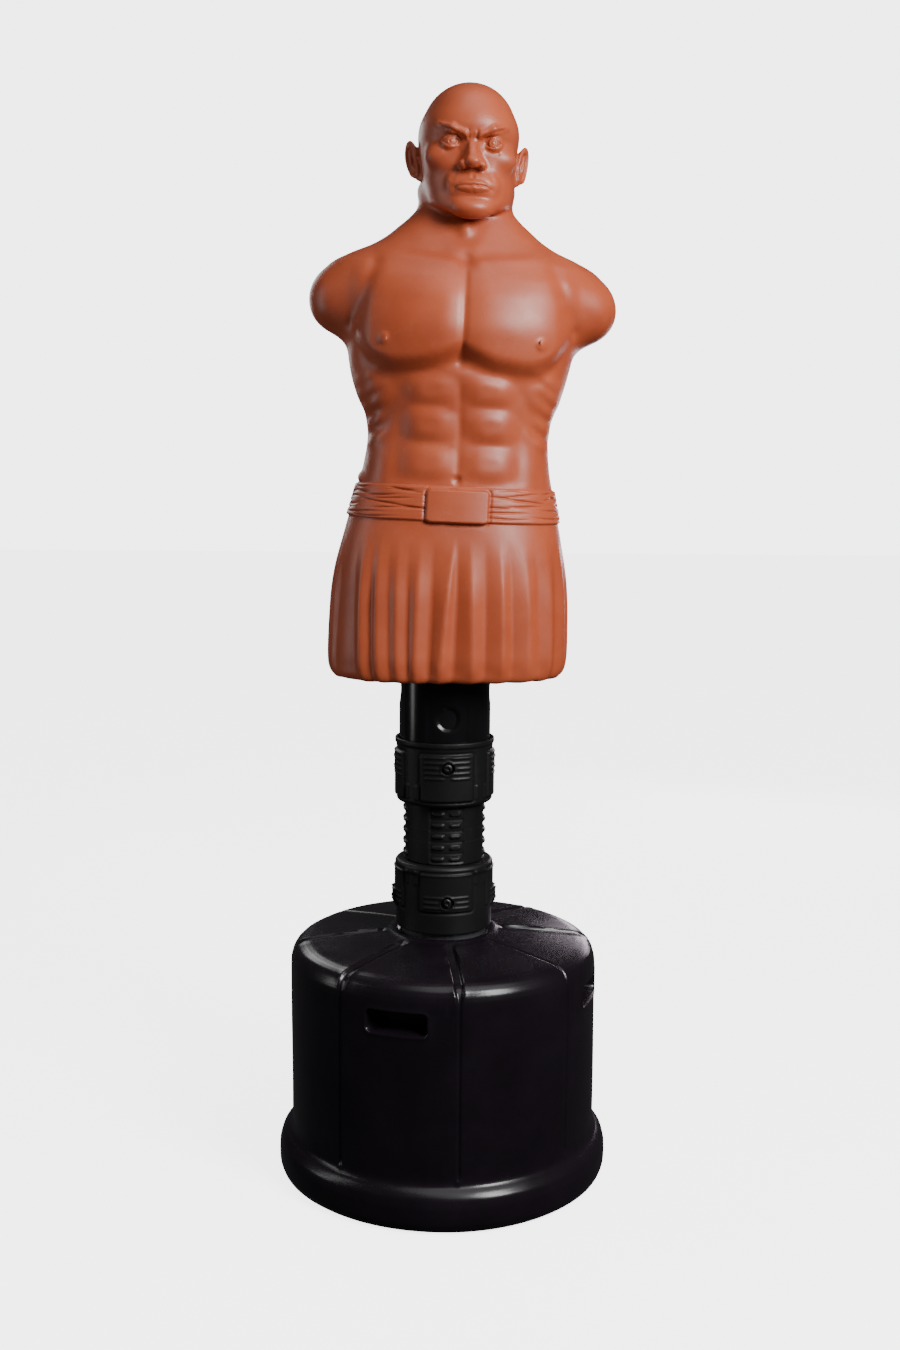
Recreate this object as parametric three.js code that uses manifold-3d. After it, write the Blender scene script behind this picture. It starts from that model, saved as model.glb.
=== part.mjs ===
// Body opponent mannequin: a foam-filled torso on a mast, a flexible rubber column and a fillable base.
// Units are millimetres, +Z is up, -Y is the front, and the origin is the floor centre of the base.
import * as THREE from 'three';
import { mergeVertices } from 'three/addons/utils/BufferGeometryUtils.js';
import Module from 'manifold-3d';

const wasm = await Module();
wasm.setup();

// ---------------------------------------------------------------- driving dimensions
const GAP = 0.3; // clearance between touching pieces

const BASE = {
  radius: 252, footRadius: 273, footHeight: 70, edgeHeight: 391, seatHeight: 402,
  wall: 9, grooves: 8, firstGroove: 6, grooveHalf: 7, grooveLift: 2,
};
const HANDHOLD = {
  count: 4, first: -16.5, width: 100, height: 36, middle: 325, floorRadius: 217.5, corner: 12,
};
const FILLER = { angle: 163.5, radius: 150, hole: 18, spout: 24, spoutTop: 414, cap: 31, capTop: 421.5 };
const COLUMN_TURN = 4; // the column stands turned a little about its axis
const STEM = { radius: 70, bore: 62, bottom: 301, top: 512, socketBottom: 300 };
const CUFF = { wall: 79, panel: 81.5, panelHalfAngle: 32, boltRadius: 5, headRadius: 7.5, sinkRadius: 9.5 };
const LOWER_CUFF = { bottom: 413, top: 524, bossBottom: 450, bossTop: 518, bolt: 466 };
const UPPER_CUFF = { bottom: 622, top: 726, bossBottom: 630, bossTop: 706, bolt: 686 };
const NECK = { radius: 66, bore: 54, ringBottom: 562, ringTop: 582 };
const SPRING = { mean: 43, wire: 5, turns: 5, sides: 6, stepsPerTurn: 10 };
const MAST = {
  radius: 76, bore: 70, top: 1130, trackRadius: 74.2, trackHalfAngle: 26, dimpleRadius: 23, dimpleDepth: 3,
};
const LOCK = { height: 840, pitch: 76, below: 1, above: 3 };
const COLLAR = { radius: 90, bottom: 829, top: 851.4 };
const RECESS = { radius: 112, top: 860 };
const LINER = { bore: 76.8, radius: 80, top: 1212 };
const TORSO = { bottom: 826, skin: 5, leanSlope: 0.037, footOffset: 3.5, leanStart: 120 };

// ---------------------------------------------------------------- solids from three.js geometry
const rad = THREE.MathUtils.degToRad;
const PLAIN = { bevelEnabled: false, curveSegments: 3 };

function solid(geometry) {
  const bare = geometry.clone();
  bare.deleteAttribute('normal');
  bare.deleteAttribute('uv');
  const merged = mergeVertices(bare, 1e-4);
  return new wasm.Manifold(new wasm.Mesh({
    numProp: 3,
    vertProperties: new Float32Array(merged.attributes.position.array),
    triVerts: new Uint32Array(merged.index.array),
  }));
}

function geometryOf(body) {
  const mesh = body.getMesh();
  const geometry = new THREE.BufferGeometry();
  geometry.setAttribute('position', new THREE.BufferAttribute(new Float32Array(mesh.vertProperties), 3));
  geometry.setIndex(new THREE.BufferAttribute(new Uint32Array(mesh.triVerts), 1));
  geometry.computeVertexNormals();
  return geometry;
}

// A turned piece about Z from [radius, height] points that start and end on the axis.
function turned(points, segments = 32) {
  const outline = points.map(([r, z]) => new THREE.Vector2(r, z));
  return solid(new THREE.LatheGeometry(outline, segments).rotateX(Math.PI / 2));
}

// A turned ring about Z: its closed outline runs once round the section.
function turnedRing(points, segments = 32) {
  return turned([...points, points[0]], segments);
}

function tube(outer, inner, bottom, top, segments = 32) {
  return turnedRing([[inner, bottom], [outer, bottom], [outer, top], [inner, top]], segments);
}

function rod(radius, bottom, top, segments = 20) {
  const geometry = new THREE.CylinderGeometry(radius, radius, top - bottom, segments);
  return solid(geometry.rotateX(Math.PI / 2).translate(0, 0, (bottom + top) / 2));
}

// Turns a piece about Z by an angle measured from the front (-Y) towards +X.
function turnTo(piece, degrees) {
  return piece.rotate([0, 0, degrees]);
}

// A cylinder that points out along -Y, from one radius to another, then is turned to its angle.
function radialRod(radius, from, to, height, degrees, segments = 10) {
  const geometry = new THREE.CylinderGeometry(radius, radius, to - from, segments);
  return turnTo(solid(geometry.translate(0, -(from + to) / 2, 0)).translate([0, 0, height]), degrees);
}

// A piece of a ring: from radius `inner` to `outer`, `half` degrees to each side of the front.
function sector(inner, outer, half, bottom, top, degrees) {
  const shape = new THREE.Shape();
  shape.absarc(0, 0, outer, rad(-90 - half), rad(-90 + half), false);
  shape.absarc(0, 0, inner, rad(-90 + half), rad(-90 - half), true);
  const geometry = new THREE.ExtrudeGeometry(shape, { depth: top - bottom, ...PLAIN });
  return turnTo(solid(geometry.translate(0, 0, bottom)), degrees);
}

// A box with rounded corners seen from the front, reaching from one radius to another.
function roundedPocket(width, height, corner, from, to, middle, degrees) {
  const [w, h] = [width / 2 - corner, height / 2 - corner];
  const shape = new THREE.Shape();
  shape.absarc(w, h, corner, 0, Math.PI / 2);
  shape.absarc(-w, h, corner, Math.PI / 2, Math.PI);
  shape.absarc(-w, -h, corner, Math.PI, 1.5 * Math.PI);
  shape.absarc(w, -h, corner, 1.5 * Math.PI, 2 * Math.PI);
  const geometry = new THREE.ExtrudeGeometry(shape, { depth: to - from, ...PLAIN });
  return turnTo(solid(geometry.rotateX(Math.PI / 2).translate(0, -from, middle)), degrees);
}

// A regular outline about the origin.
function polygon(radius, sides) {
  const corners = [];
  for (let i = 0; i < sides; i += 1) {
    const angle = (2 * Math.PI * i) / sides;
    corners.push(new THREE.Vector2(radius * Math.cos(angle), radius * Math.sin(angle)));
  }
  return new THREE.Shape(corners);
}

// A closed surface through rings of points, each ring with the same number of points.
function loft(rings) {
  const count = rings[0].length;
  const points = rings.flat();
  const middle = (ring) => ring.reduce((sum, p) => sum.add(p), new THREE.Vector3()).divideScalar(count);
  points.push(middle(rings[0]), middle(rings[rings.length - 1]));
  const [first, last] = [points.length - 2, points.length - 1];
  const index = [];
  for (let j = 0; j < count; j += 1) {
    const k = (j + 1) % count;
    for (let i = 0; i < rings.length - 1; i += 1) {
      const [a, b, c, d] = [i * count + j, i * count + k, (i + 1) * count + j, (i + 1) * count + k];
      index.push(a, b, d, a, d, c);
    }
    const end = (rings.length - 1) * count;
    index.push(first, k, j, last, end + j, end + k);
  }
  const geometry = new THREE.BufferGeometry().setFromPoints(points);
  geometry.setIndex(index);
  return solid(geometry);
}

// ---------------------------------------------------------------- the scene graph
const mannequin = new THREE.Group();

function add(name, body, [color, roughness, metalness]) {
  const material = new THREE.MeshStandardMaterial({ color, roughness, metalness });
  const mesh = new THREE.Mesh(geometryOf(body), material);
  mesh.name = name;
  mannequin.add(mesh);
}

// The column's own pieces are built facing the front and turned together.
function addToColumn(name, body, look) {
  add(name, turnTo(body, COLUMN_TURN), look);
}

const SKIN = [0xa85a3e, 0.45, 0];
const FOAM = [0xd9c79a, 0.9, 0];
const TANK = [0x17151a, 0.35, 0];
const RUBBER = [0x1c1d20, 0.7, 0];
const GLOSS = [0x08080a, 0.15, 0];
const STEEL = [0x9a9da1, 0.35, 1];
const PLASTIC = [0x222226, 0.5, 0];

// ---------------------------------------------------------------- base tank, filler cap and gasket
function fillerAt(piece) {
  const a = rad(FILLER.angle);
  return piece.translate([FILLER.radius * Math.sin(a), -FILLER.radius * Math.cos(a), 0]);
}

function baseTank() {
  const { radius, footRadius, footHeight, edgeHeight, seatHeight, wall, grooveLift: lift } = BASE;
  const shell = turned([
    [0, 0], [footRadius - 9, 0], [footRadius - 2, 9], [footRadius, 40], [footRadius - 4, 58],
    [footRadius - 12, footHeight - 2], [radius, footHeight + 4], [radius, edgeHeight - 45],
    [radius - 5, edgeHeight - 25], [radius - 16, edgeHeight - 9], [radius - 32, edgeHeight - 1],
    [100, seatHeight], [0, seatHeight],
  ], 40);
  const hollow = turned([
    [0, wall], [footRadius - wall - 6, wall], [footRadius - wall - 1, 40], [radius - 15, footHeight],
    [radius - 15, edgeHeight - 45], [radius - 42, edgeHeight - 15], [STEM.radius + 12, seatHeight - 16],
    [STEM.radius + 12, STEM.socketBottom - 10], [0, STEM.socketBottom - 10],
  ], 24);
  let tank = shell;
  let cavity = hollow;
  for (let i = 0; i < BASE.grooves; i += 1) {
    const angle = BASE.firstGroove + (360 / BASE.grooves) * i;
    const section = polygon(BASE.grooveHalf, 4);
    const path = new THREE.CatmullRomCurve3([
      [100, seatHeight + lift], [170, seatHeight - 4], [radius - 32, edgeHeight - 1 + lift],
      [radius - 14 + lift, edgeHeight - 9 + lift], [radius - 3 + lift, edgeHeight - 26],
      [radius + lift, edgeHeight - 60], [radius + lift, footHeight + 18],
    ].map(([r, z]) => new THREE.Vector3(0, -r, z)));
    const channel = new THREE.ExtrudeGeometry(section, { steps: 7, extrudePath: path });
    tank = tank.subtract(turnTo(solid(channel), angle));
  }
  for (let i = 0; i < HANDHOLD.count; i += 1) {
    const angle = HANDHOLD.first + (360 / HANDHOLD.count) * i;
    const { width, height, corner, floorRadius, middle } = HANDHOLD;
    const [blockWidth, blockHeight] = [width + 2 * wall, height + 2 * wall];
    const block = [blockWidth, blockHeight, corner + wall, floorRadius - wall, radius + 20, middle, angle];
    tank = tank.subtract(roundedPocket(width, height, corner, floorRadius, radius + 20, middle, angle));
    cavity = cavity.subtract(roundedPocket(...block));
  }
  const spout = fillerAt(rod(FILLER.spout, seatHeight - 18, FILLER.spoutTop, 24));
  const mouth = fillerAt(rod(FILLER.hole, seatHeight - 60, FILLER.spoutTop + 5, 24));
  const socket = turnTo(rod(STEM.radius + GAP, STEM.socketBottom, seatHeight + 5, 32), COLUMN_TURN);
  return tank.add(spout).subtract(cavity).subtract(mouth).subtract(socket);
}

add('base_tank', baseTank(), TANK);
const gasketBottom = FILLER.spoutTop + GAP;
const gasketTop = gasketBottom + 2;
const gasket = tube(FILLER.spout - 0.5, FILLER.hole + 0.5, gasketBottom, gasketTop, 24);
add('filler_gasket', fillerAt(gasket), RUBBER);

function fillerCap() {
  const inside = FILLER.spout + 0.6;
  let cap = turned([
    [0, gasketTop + GAP], [inside, gasketTop + GAP], [inside, 401], [FILLER.cap, 401],
    [FILLER.cap, FILLER.capTop - 2], [FILLER.cap - 2, FILLER.capTop], [0, FILLER.capTop],
  ], 24);
  for (let i = 0; i < 8; i += 1) {
    cap = cap.subtract(radialRod(2.5, FILLER.cap - 1, FILLER.cap + 4, 0, 0, 8).rotate([90, 0, 0])
      .translate([0, -FILLER.cap, 410]).rotate([0, 0, 45 * i]));
  }
  return fillerAt(cap);
}
add('filler_cap', fillerCap(), TANK);

// ---------------------------------------------------------------- column: stem, cuffs, neck and spring
function columnStem() {
  const { radius, bore, bottom, top } = STEM;
  let stem = tube(radius, bore, bottom, top);
  stem = stem.add(rod(radius, bottom, bottom + 10, 32));
  for (let i = 0; i < 4; i += 1) {
    stem = stem.subtract(radialRod(CUFF.boltRadius + GAP, bore - 5, radius + 5, LOWER_CUFF.bolt, 90 * i));
  }
  return stem;
}
addToColumn('column_stem', columnStem(), PLASTIC);

// Four bosses stand out of a cuff; each holds one fastener in a sunk hole.
function withBosses(cuff, { bossBottom, bossTop, bolt }) {
  let body = cuff;
  for (let i = 0; i < 4; i += 1) {
    body = body.add(sector(CUFF.wall - 1, CUFF.panel, CUFF.panelHalfAngle, bossBottom, bossTop, 90 * i));
  }
  for (let i = 0; i < 4; i += 1) {
    body = body.subtract(radialRod(CUFF.sinkRadius, CUFF.wall - 0.5, CUFF.panel + 9, bolt, 90 * i));
    body = body.subtract(radialRod(CUFF.boltRadius + GAP, STEM.bore, CUFF.panel + 5, bolt, 90 * i));
  }
  return body;
}

function lowerCuff() {
  const { bottom, top } = LOWER_CUFF;
  const [bore, lip] = [STEM.radius + GAP, top - 5.7];
  const sleeve = turnedRing([
    [bore, bottom], [CUFF.wall - 5, bottom], [CUFF.wall, bottom + 6], [CUFF.wall, top - 6],
    [CUFF.wall - 3, top], [NECK.bore + 2, top], [NECK.bore + 2, lip], [bore, lip],
  ]);
  return withBosses(sleeve, LOWER_CUFF);
}
addToColumn('lower_cuff', lowerCuff(), RUBBER);

function upperCuff() {
  const { bottom, top } = UPPER_CUFF;
  const [bore, floor] = [MAST.radius + 0.4, bottom + 6];
  const sleeve = turnedRing([
    [NECK.bore + 2, bottom], [CUFF.wall - 5, bottom], [CUFF.wall, bottom + 7], [CUFF.wall, top - 9],
    [CUFF.wall + 2, top - 7], [CUFF.wall + 2, top], [bore, top], [bore, floor], [NECK.bore + 2, floor],
  ]);
  return withBosses(sleeve, UPPER_CUFF);
}
addToColumn('upper_cuff', upperCuff(), RUBBER);

function fastener(height, tipRadius, degrees) {
  const seat = CUFF.wall - 0.2;
  const head = radialRod(CUFF.headRadius, seat, seat + 3.2, height, 0, 6);
  const shank = radialRod(CUFF.boltRadius, tipRadius, seat + 1, height, 0, 12);
  return turnTo(head.add(shank), degrees);
}
const SIDES = ['front', 'right', 'rear', 'left'];
SIDES.forEach((side, i) => {
  addToColumn(`lower_cuff_screw_${side}`, fastener(LOWER_CUFF.bolt, STEM.bore + 1, 90 * i), STEEL);
  addToColumn(`upper_cuff_bolt_${side}`, fastener(UPPER_CUFF.bolt, MAST.bore + 1, 90 * i), STEEL);
});

// The neck is one rubber moulding in use; it is parted at its two bending planes.
const neckLower = tube(NECK.radius, NECK.bore, LOWER_CUFF.top + GAP, NECK.ringBottom - GAP, 28);
addToColumn('neck_lower', neckLower, RUBBER);
addToColumn('neck_ring', tube(NECK.radius, NECK.bore, NECK.ringBottom, NECK.ringTop, 28), RUBBER);
const neckUpper = tube(NECK.radius, NECK.bore, NECK.ringTop + GAP, UPPER_CUFF.bottom - GAP, 28);
addToColumn('neck_upper', neckUpper, RUBBER);

const lowerSeatTop = LOWER_CUFF.top - 6;
const upperSeatBottom = UPPER_CUFF.bottom + 6 + GAP;
addToColumn('spring_seat_lower', turned([
  [0, STEM.top + GAP], [STEM.radius - 1, STEM.top + GAP], [STEM.radius - 1, lowerSeatTop],
  [SPRING.mean - SPRING.wire - 1, lowerSeatTop], [SPRING.mean - SPRING.wire - 3, lowerSeatTop + 14],
  [0, lowerSeatTop + 14],
], 24), PLASTIC);
addToColumn('spring_seat_upper', turned([
  [0, upperSeatBottom - 18], [SPRING.mean - SPRING.wire - 3, upperSeatBottom - 18],
  [SPRING.mean - SPRING.wire - 1, upperSeatBottom - 6], [NECK.bore - 1, upperSeatBottom - 6],
  [NECK.bore - 1, upperSeatBottom], [MAST.radius - 1, upperSeatBottom],
  [MAST.radius - 1, upperSeatBottom + 7.4],
  [0, upperSeatBottom + 7.4],
], 24), PLASTIC);

class Helix extends THREE.Curve {
  getPoint(t, target = new THREE.Vector3()) {
    const bottom = lowerSeatTop + GAP + SPRING.wire + 0.5;
    const top = upperSeatBottom - 6 - GAP - SPRING.wire - 0.5;
    const angle = 2 * Math.PI * SPRING.turns * t;
    const [x, y] = [SPRING.mean * Math.cos(angle), SPRING.mean * Math.sin(angle)];
    return target.set(x, y, bottom + (top - bottom) * t);
  }
}

function columnSpring() {
  const section = polygon(SPRING.wire, SPRING.sides);
  const steps = SPRING.turns * SPRING.stepsPerTurn;
  return solid(new THREE.ExtrudeGeometry(section, { steps, extrudePath: new Helix() }));
}
addToColumn('column_spring', columnSpring(), STEEL);

// ---------------------------------------------------------------- mast
function mastTube() {
  const bottom = upperSeatBottom + 7.4 + GAP;
  let mast = tube(MAST.radius, MAST.bore, bottom, MAST.top - GAP);
  for (let i = 0; i < 4; i += 1) {
    const [inner, outer] = [MAST.trackRadius, MAST.radius + 5];
    mast = mast.subtract(sector(inner, outer, MAST.trackHalfAngle, UPPER_CUFF.top - 10, 1200, 90 * i));
    mast = mast.subtract(radialRod(CUFF.boltRadius + GAP, MAST.bore - 5, outer, UPPER_CUFF.bolt, 90 * i));
    const shift = i % 2 ? LOCK.pitch / 2 : 0;
    for (let step = -LOCK.below; step <= LOCK.above; step += 1) {
      const height = LOCK.height - shift + LOCK.pitch * step;
      const floor = MAST.trackRadius - MAST.dimpleDepth;
      const dimple = new THREE.CylinderGeometry(MAST.dimpleRadius - 8, MAST.dimpleRadius, 8, 8);
      mast = mast.subtract(turnTo(solid(dimple.translate(0, -floor - 4, height)), 90 * i));
    }
  }
  return mast;
}
addToColumn('mast_tube', mastTube(), GLOSS);
addToColumn('mast_top_cap', turned([
  [0, MAST.top - 18], [MAST.bore - 1, MAST.top - 18], [MAST.bore - 1, MAST.top],
  [MAST.trackRadius - 1, MAST.top], [MAST.trackRadius - 2, MAST.top + 4], [0, MAST.top + 4],
], 24), PLASTIC);

// ---------------------------------------------------------------- torso: skin and foam
// Torso sections: [height, half width, front, back, squareness].
const TORSO_SECTIONS = [
  [826, 180, 126, 116, 2.5], [838, 187, 131, 121, 2.5], [866, 192, 132, 124, 2.5],
  [950, 191, 132, 128, 2.5], [1045, 177, 126, 121, 2.4], [1109, 160, 117, 107, 2.3],
  [1204, 143, 109, 94, 2.3], [1267, 160, 114, 101, 2.3], [1330, 175, 126, 113, 2.4],
  [1385, 188, 136, 121, 2.4], [1436, 190, 128, 122, 2.3], [1480, 180, 104, 112, 2.1],
  [1512, 132, 84, 98, 2.1], [1540, 92, 68, 84, 2], [1566, 71, 60, 74, 2], [1610, 64, 56, 66, 2],
];
// Head sections: [height, half width, front, back].
const HEAD_SECTIONS = [
  [1526, 24, 92, -52], [1538, 46, 100, 0], [1560, 64, 104, 48], [1592, 72, 105, 76], [1622, 76, 107, 88],
  [1652, 79, 107, 93], [1682, 78, 102, 92], [1710, 69, 88, 82], [1731, 53, 66, 64], [1744, 32, 40, 42],
  [1750, 9, 12, 16],
];
const HEAD_MIDDLE = 1640;
// Arm sections outwards from the chest: [distance, height, half depth, half height].
const ARM_SECTIONS = [
  [60, 1424, 88, 72], [150, 1420, 74, 68], [190, 1413, 64, 60], [219, 1406, 50, 48], [234, 1402, 32, 33],
  [241, 1400, 10, 11],
];

// The torso leans a little towards +X above the skirt's hem.
function lean(p) {
  const rise = p.z - TORSO.bottom;
  const share = THREE.MathUtils.smoothstep(rise, 0, TORSO.leanStart);
  const x = p.x + TORSO.footOffset + TORSO.leanSlope * Math.max(rise, 0);
  return new THREE.Vector3(x, p.y, p.z - TORSO.leanSlope * p.x * share);
}

function oval(halfX, lowY, highY, power, count, place) {
  const points = [];
  const [midY, halfY] = [(lowY + highY) / 2, (highY - lowY) / 2];
  for (let i = 0; i < count; i += 1) {
    const angle = (2 * Math.PI * i) / count;
    const [c, s] = [Math.cos(angle), Math.sin(angle)];
    const u = halfX * Math.sign(c) * Math.abs(c) ** (2 / power);
    const v = midY + halfY * Math.sign(s) * Math.abs(s) ** (2 / power);
    points.push(lean(place(u, v)));
  }
  return points;
}

function torsoSolid(inset) {
  const lowest = [TORSO.bottom - 20, ...TORSO_SECTIONS[0].slice(1)];
  const sections = inset > 0 ? [lowest, ...TORSO_SECTIONS] : TORSO_SECTIONS;
  const rings = sections.map(([z, half, front, back, power]) => (
    oval(half - inset, inset - front, back - inset, power, 22, (x, y) => new THREE.Vector3(x, y, z))));
  return loft(rings);
}

function headSolid(inset) {
  const shrink = 1 - inset / (HEAD_SECTIONS[HEAD_SECTIONS.length - 1][0] - HEAD_MIDDLE);
  const rings = HEAD_SECTIONS.map(([z, half, front, back]) => {
    const height = HEAD_MIDDLE + (z - HEAD_MIDDLE) * shrink;
    const frontY = Math.min(inset - front, back - inset - 4);
    const place = (x, y) => new THREE.Vector3(x, y, height);
    return oval(Math.max(half - inset, 2), frontY, back - inset, 2.1, 16, place);
  });
  return loft(rings);
}

function armSolid(side, inset) {
  const rings = ARM_SECTIONS.map(([distance, height, halfDepth, halfHeight]) => {
    const [deep, high] = [Math.max(halfDepth - inset, 2), Math.max(halfHeight - inset, 2)];
    const place = (u, v) => new THREE.Vector3(side * (distance - inset), side * u, height + v);
    return oval(deep, -high, high, 2.2, 12, place);
  });
  return loft(rings);
}

function figure(inset) {
  return torsoSolid(inset).add(headSolid(inset)).add(armSolid(-1, inset)).add(armSolid(1, inset));
}

function lump(x, y, z, rx, ry, rz) {
  const geometry = new THREE.SphereGeometry(1, 10, 6).scale(rx, ry, rz).translate(x, y, z);
  const position = geometry.attributes.position;
  for (let i = 0; i < position.count; i += 1) {
    const p = lean(new THREE.Vector3().fromBufferAttribute(position, i));
    position.setXYZ(i, p.x, p.y, p.z);
  }
  return solid(geometry);
}

function skin() {
  const ears = lump(-85, 8, 1637, 11, 17, 32).add(lump(85, 8, 1637, 11, 17, 32));
  const nose = lump(4, -100, 1612, 14, 24, 26);
  return figure(0).add(ears).add(nose).subtract(figure(TORSO.skin));
}
add('mannequin_skin', skin(), SKIN);

function foamCore() {
  const bore = rod(LINER.radius + GAP, TORSO.bottom - 30, LINER.top + 3.5, 32);
  const recess = rod(RECESS.radius, TORSO.bottom - 30, RECESS.top, 32);
  const below = solid(new THREE.BoxGeometry(600, 600, 100).translate(0, 0, TORSO.bottom + 1 - 50));
  return figure(TORSO.skin + GAP).subtract(bore).subtract(recess).subtract(below);
}
add('foam_core', foamCore(), FOAM);

// ---------------------------------------------------------------- torso fittings round the mast
add('mast_liner', turned([
  [0, LINER.top], [LINER.bore, LINER.top], [LINER.bore, RECESS.top + GAP], [LINER.radius, RECESS.top + GAP],
  [LINER.radius, LINER.top + 3], [0, LINER.top + 3],
]), PLASTIC);

const plateBottom = COLLAR.top + GAP;
const plateTop = RECESS.top - GAP;
const screwCircle = RECESS.radius - 9;
function torsoPlate() {
  let plate = tube(RECESS.radius - 1, LINER.bore, plateBottom, plateTop);
  for (let i = 0; i < 4; i += 1) {
    const hole = rod(3 + GAP, plateBottom - 5, plateTop + 5, 8);
    plate = plate.subtract(turnTo(hole.translate([0, -screwCircle, 0]), 45 + 90 * i));
  }
  return plate;
}
add('torso_plate', torsoPlate(), PLASTIC);
for (let i = 0; i < 4; i += 1) {
  const head = rod(5.5, plateBottom - GAP - 3, plateBottom - GAP, 8);
  const screw = head.add(rod(3, plateBottom - 2, plateTop, 8));
  add(`torso_plate_screw_${i + 1}`, turnTo(screw.translate([0, -screwCircle, 0]), 45 + 90 * i), STEEL);
}

function lockCollar() {
  const ring = tube(COLLAR.radius, LINER.bore, COLLAR.bottom, COLLAR.top);
  const hole = (angle) => radialRod(CUFF.boltRadius + GAP, MAST.bore, COLLAR.radius + 5, LOCK.height, angle);
  return ring.subtract(hole(0)).subtract(hole(180));
}
addToColumn('lock_collar', lockCollar(), STEEL);
[['front', 0], ['rear', 180]].forEach(([side, angle]) => {
  const head = radialRod(8, COLLAR.radius + GAP, COLLAR.radius + 6, LOCK.height, 0, 6);
  const shank = radialRod(CUFF.boltRadius, MAST.trackRadius + GAP, COLLAR.radius + 2, LOCK.height, 0, 12);
  addToColumn(`height_bolt_${side}`, turnTo(head.add(shank), angle), STEEL);
});

export default mannequin;
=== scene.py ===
"""Body opponent mannequin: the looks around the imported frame. Blender 4.5, metres, +Z up, front at -Y."""

import math

import bmesh
import bpy
import numpy as np
from mathutils import Matrix, Vector


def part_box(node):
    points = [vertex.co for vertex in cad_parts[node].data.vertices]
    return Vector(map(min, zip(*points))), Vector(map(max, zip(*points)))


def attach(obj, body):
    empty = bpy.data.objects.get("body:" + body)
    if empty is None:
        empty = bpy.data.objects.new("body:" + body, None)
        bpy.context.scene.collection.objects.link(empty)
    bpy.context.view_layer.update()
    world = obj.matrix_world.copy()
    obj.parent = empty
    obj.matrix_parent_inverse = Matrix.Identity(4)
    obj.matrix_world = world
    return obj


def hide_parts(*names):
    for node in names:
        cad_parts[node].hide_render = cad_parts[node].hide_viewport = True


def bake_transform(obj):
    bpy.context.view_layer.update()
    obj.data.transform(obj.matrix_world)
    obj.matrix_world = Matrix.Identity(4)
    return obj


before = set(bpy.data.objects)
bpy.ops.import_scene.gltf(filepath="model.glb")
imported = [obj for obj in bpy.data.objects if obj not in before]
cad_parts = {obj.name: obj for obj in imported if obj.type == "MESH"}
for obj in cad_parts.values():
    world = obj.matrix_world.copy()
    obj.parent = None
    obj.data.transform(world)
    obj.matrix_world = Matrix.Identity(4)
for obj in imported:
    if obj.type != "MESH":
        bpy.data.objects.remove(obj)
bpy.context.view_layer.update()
MM = 0.001

# ------------ places in mm; the hem's comes from the frame


def corners(node):
    low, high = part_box(node)
    return np.array(low) * 1000, np.array(high) * 1000


HEM = corners("mannequin_skin")[0][2]
FOOT_OFFSET = 3.5
LEAN = 0.037
LEAN_START = 120.0


# ------------ small maths


def ramp(x, a, b):
    """0 up to a, 1 from b on and a smooth rise between; `fade` is its opposite."""
    t = np.clip((x - a) / (b - a), 0, 1)
    return t * t * (3 - 2 * t)


def fade(x, a, b):
    return 1 - ramp(x, a, b)


def smin(a, b, k):
    h = np.clip(0.5 + 0.5 * (b - a) / k, 0, 1)
    return b + (a - b) * h - k * h * (1 - h)


def smax(a, b, k):
    return -smin(-a, -b, k)


def rotated(x, y, angle):
    c, s = math.cos(angle), math.sin(angle)
    return x * c + y * s, y * c - x * s


def section(x, y, half_x, half_y, power):
    """Distance, near enough, to an outline: an ellipse at power 2, and squarer above it."""
    q = (np.abs(x / half_x) ** power + np.abs(y / half_y) ** power) ** (1 / power)
    return np.hypot(x, y) * (1 - 1 / np.maximum(q, 0.02))


def rounded_box(dx, dz, half_x, half_z, corner):
    """Distance from a rounded rectangle."""
    a, b = np.abs(dx) - half_x + corner, np.abs(dz) - half_z + corner
    return np.hypot(np.maximum(a, 0), np.maximum(b, 0)) + np.minimum(np.maximum(a, b), 0) - corner


def bump(x, width):
    """1 at 0, fading to 0 as a bell of that half width."""
    return np.exp(-0.5 * (x / width) ** 2)


def curve(knots, x):
    """A smooth curve through (x, value) knots that never overshoots them (monotone cubic)."""
    xs, ys = np.array(knots, float).T
    h = np.diff(xs)
    slope = np.diff(ys) / h
    tangent = np.zeros_like(ys)
    same = slope[:-1] * slope[1:] > 0
    w1, w2 = 2 * h[1:] + h[:-1], h[1:] + 2 * h[:-1]
    with np.errstate(divide="ignore", invalid="ignore"):
        mean = (w1 + w2) / (w1 / slope[:-1] + w2 / slope[1:])
    tangent[1:-1] = np.where(same, mean, 0)
    tangent[0], tangent[-1] = slope[0], slope[-1]
    x = np.clip(x, xs[0], xs[-1])
    i = np.clip(np.searchsorted(xs, x) - 1, 0, len(h) - 1)
    t = (x - xs[i]) / h[i]
    a = ys[i] * (1 + 2 * t) * (1 - t) ** 2 + ys[i + 1] * t * t * (3 - 2 * t)
    return a + h[i] * t * (1 - t) * (tangent[i] * (1 - t) - tangent[i + 1] * t)


def ellipsoid(x, y, z, centre, radii):
    """Distance to an ellipsoid, near enough for smooth joins."""
    a, b, c = (x - centre[0]), (y - centre[1]), (z - centre[2])
    k0 = np.sqrt((a / radii[0]) ** 2 + (b / radii[1]) ** 2 + (c / radii[2]) ** 2)
    k1 = np.sqrt((a / radii[0] ** 2) ** 2 + (b / radii[1] ** 2) ** 2 + (c / radii[2] ** 2) ** 2)
    return k0 * (k0 - 1) / np.maximum(k1, 1e-6)


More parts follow.
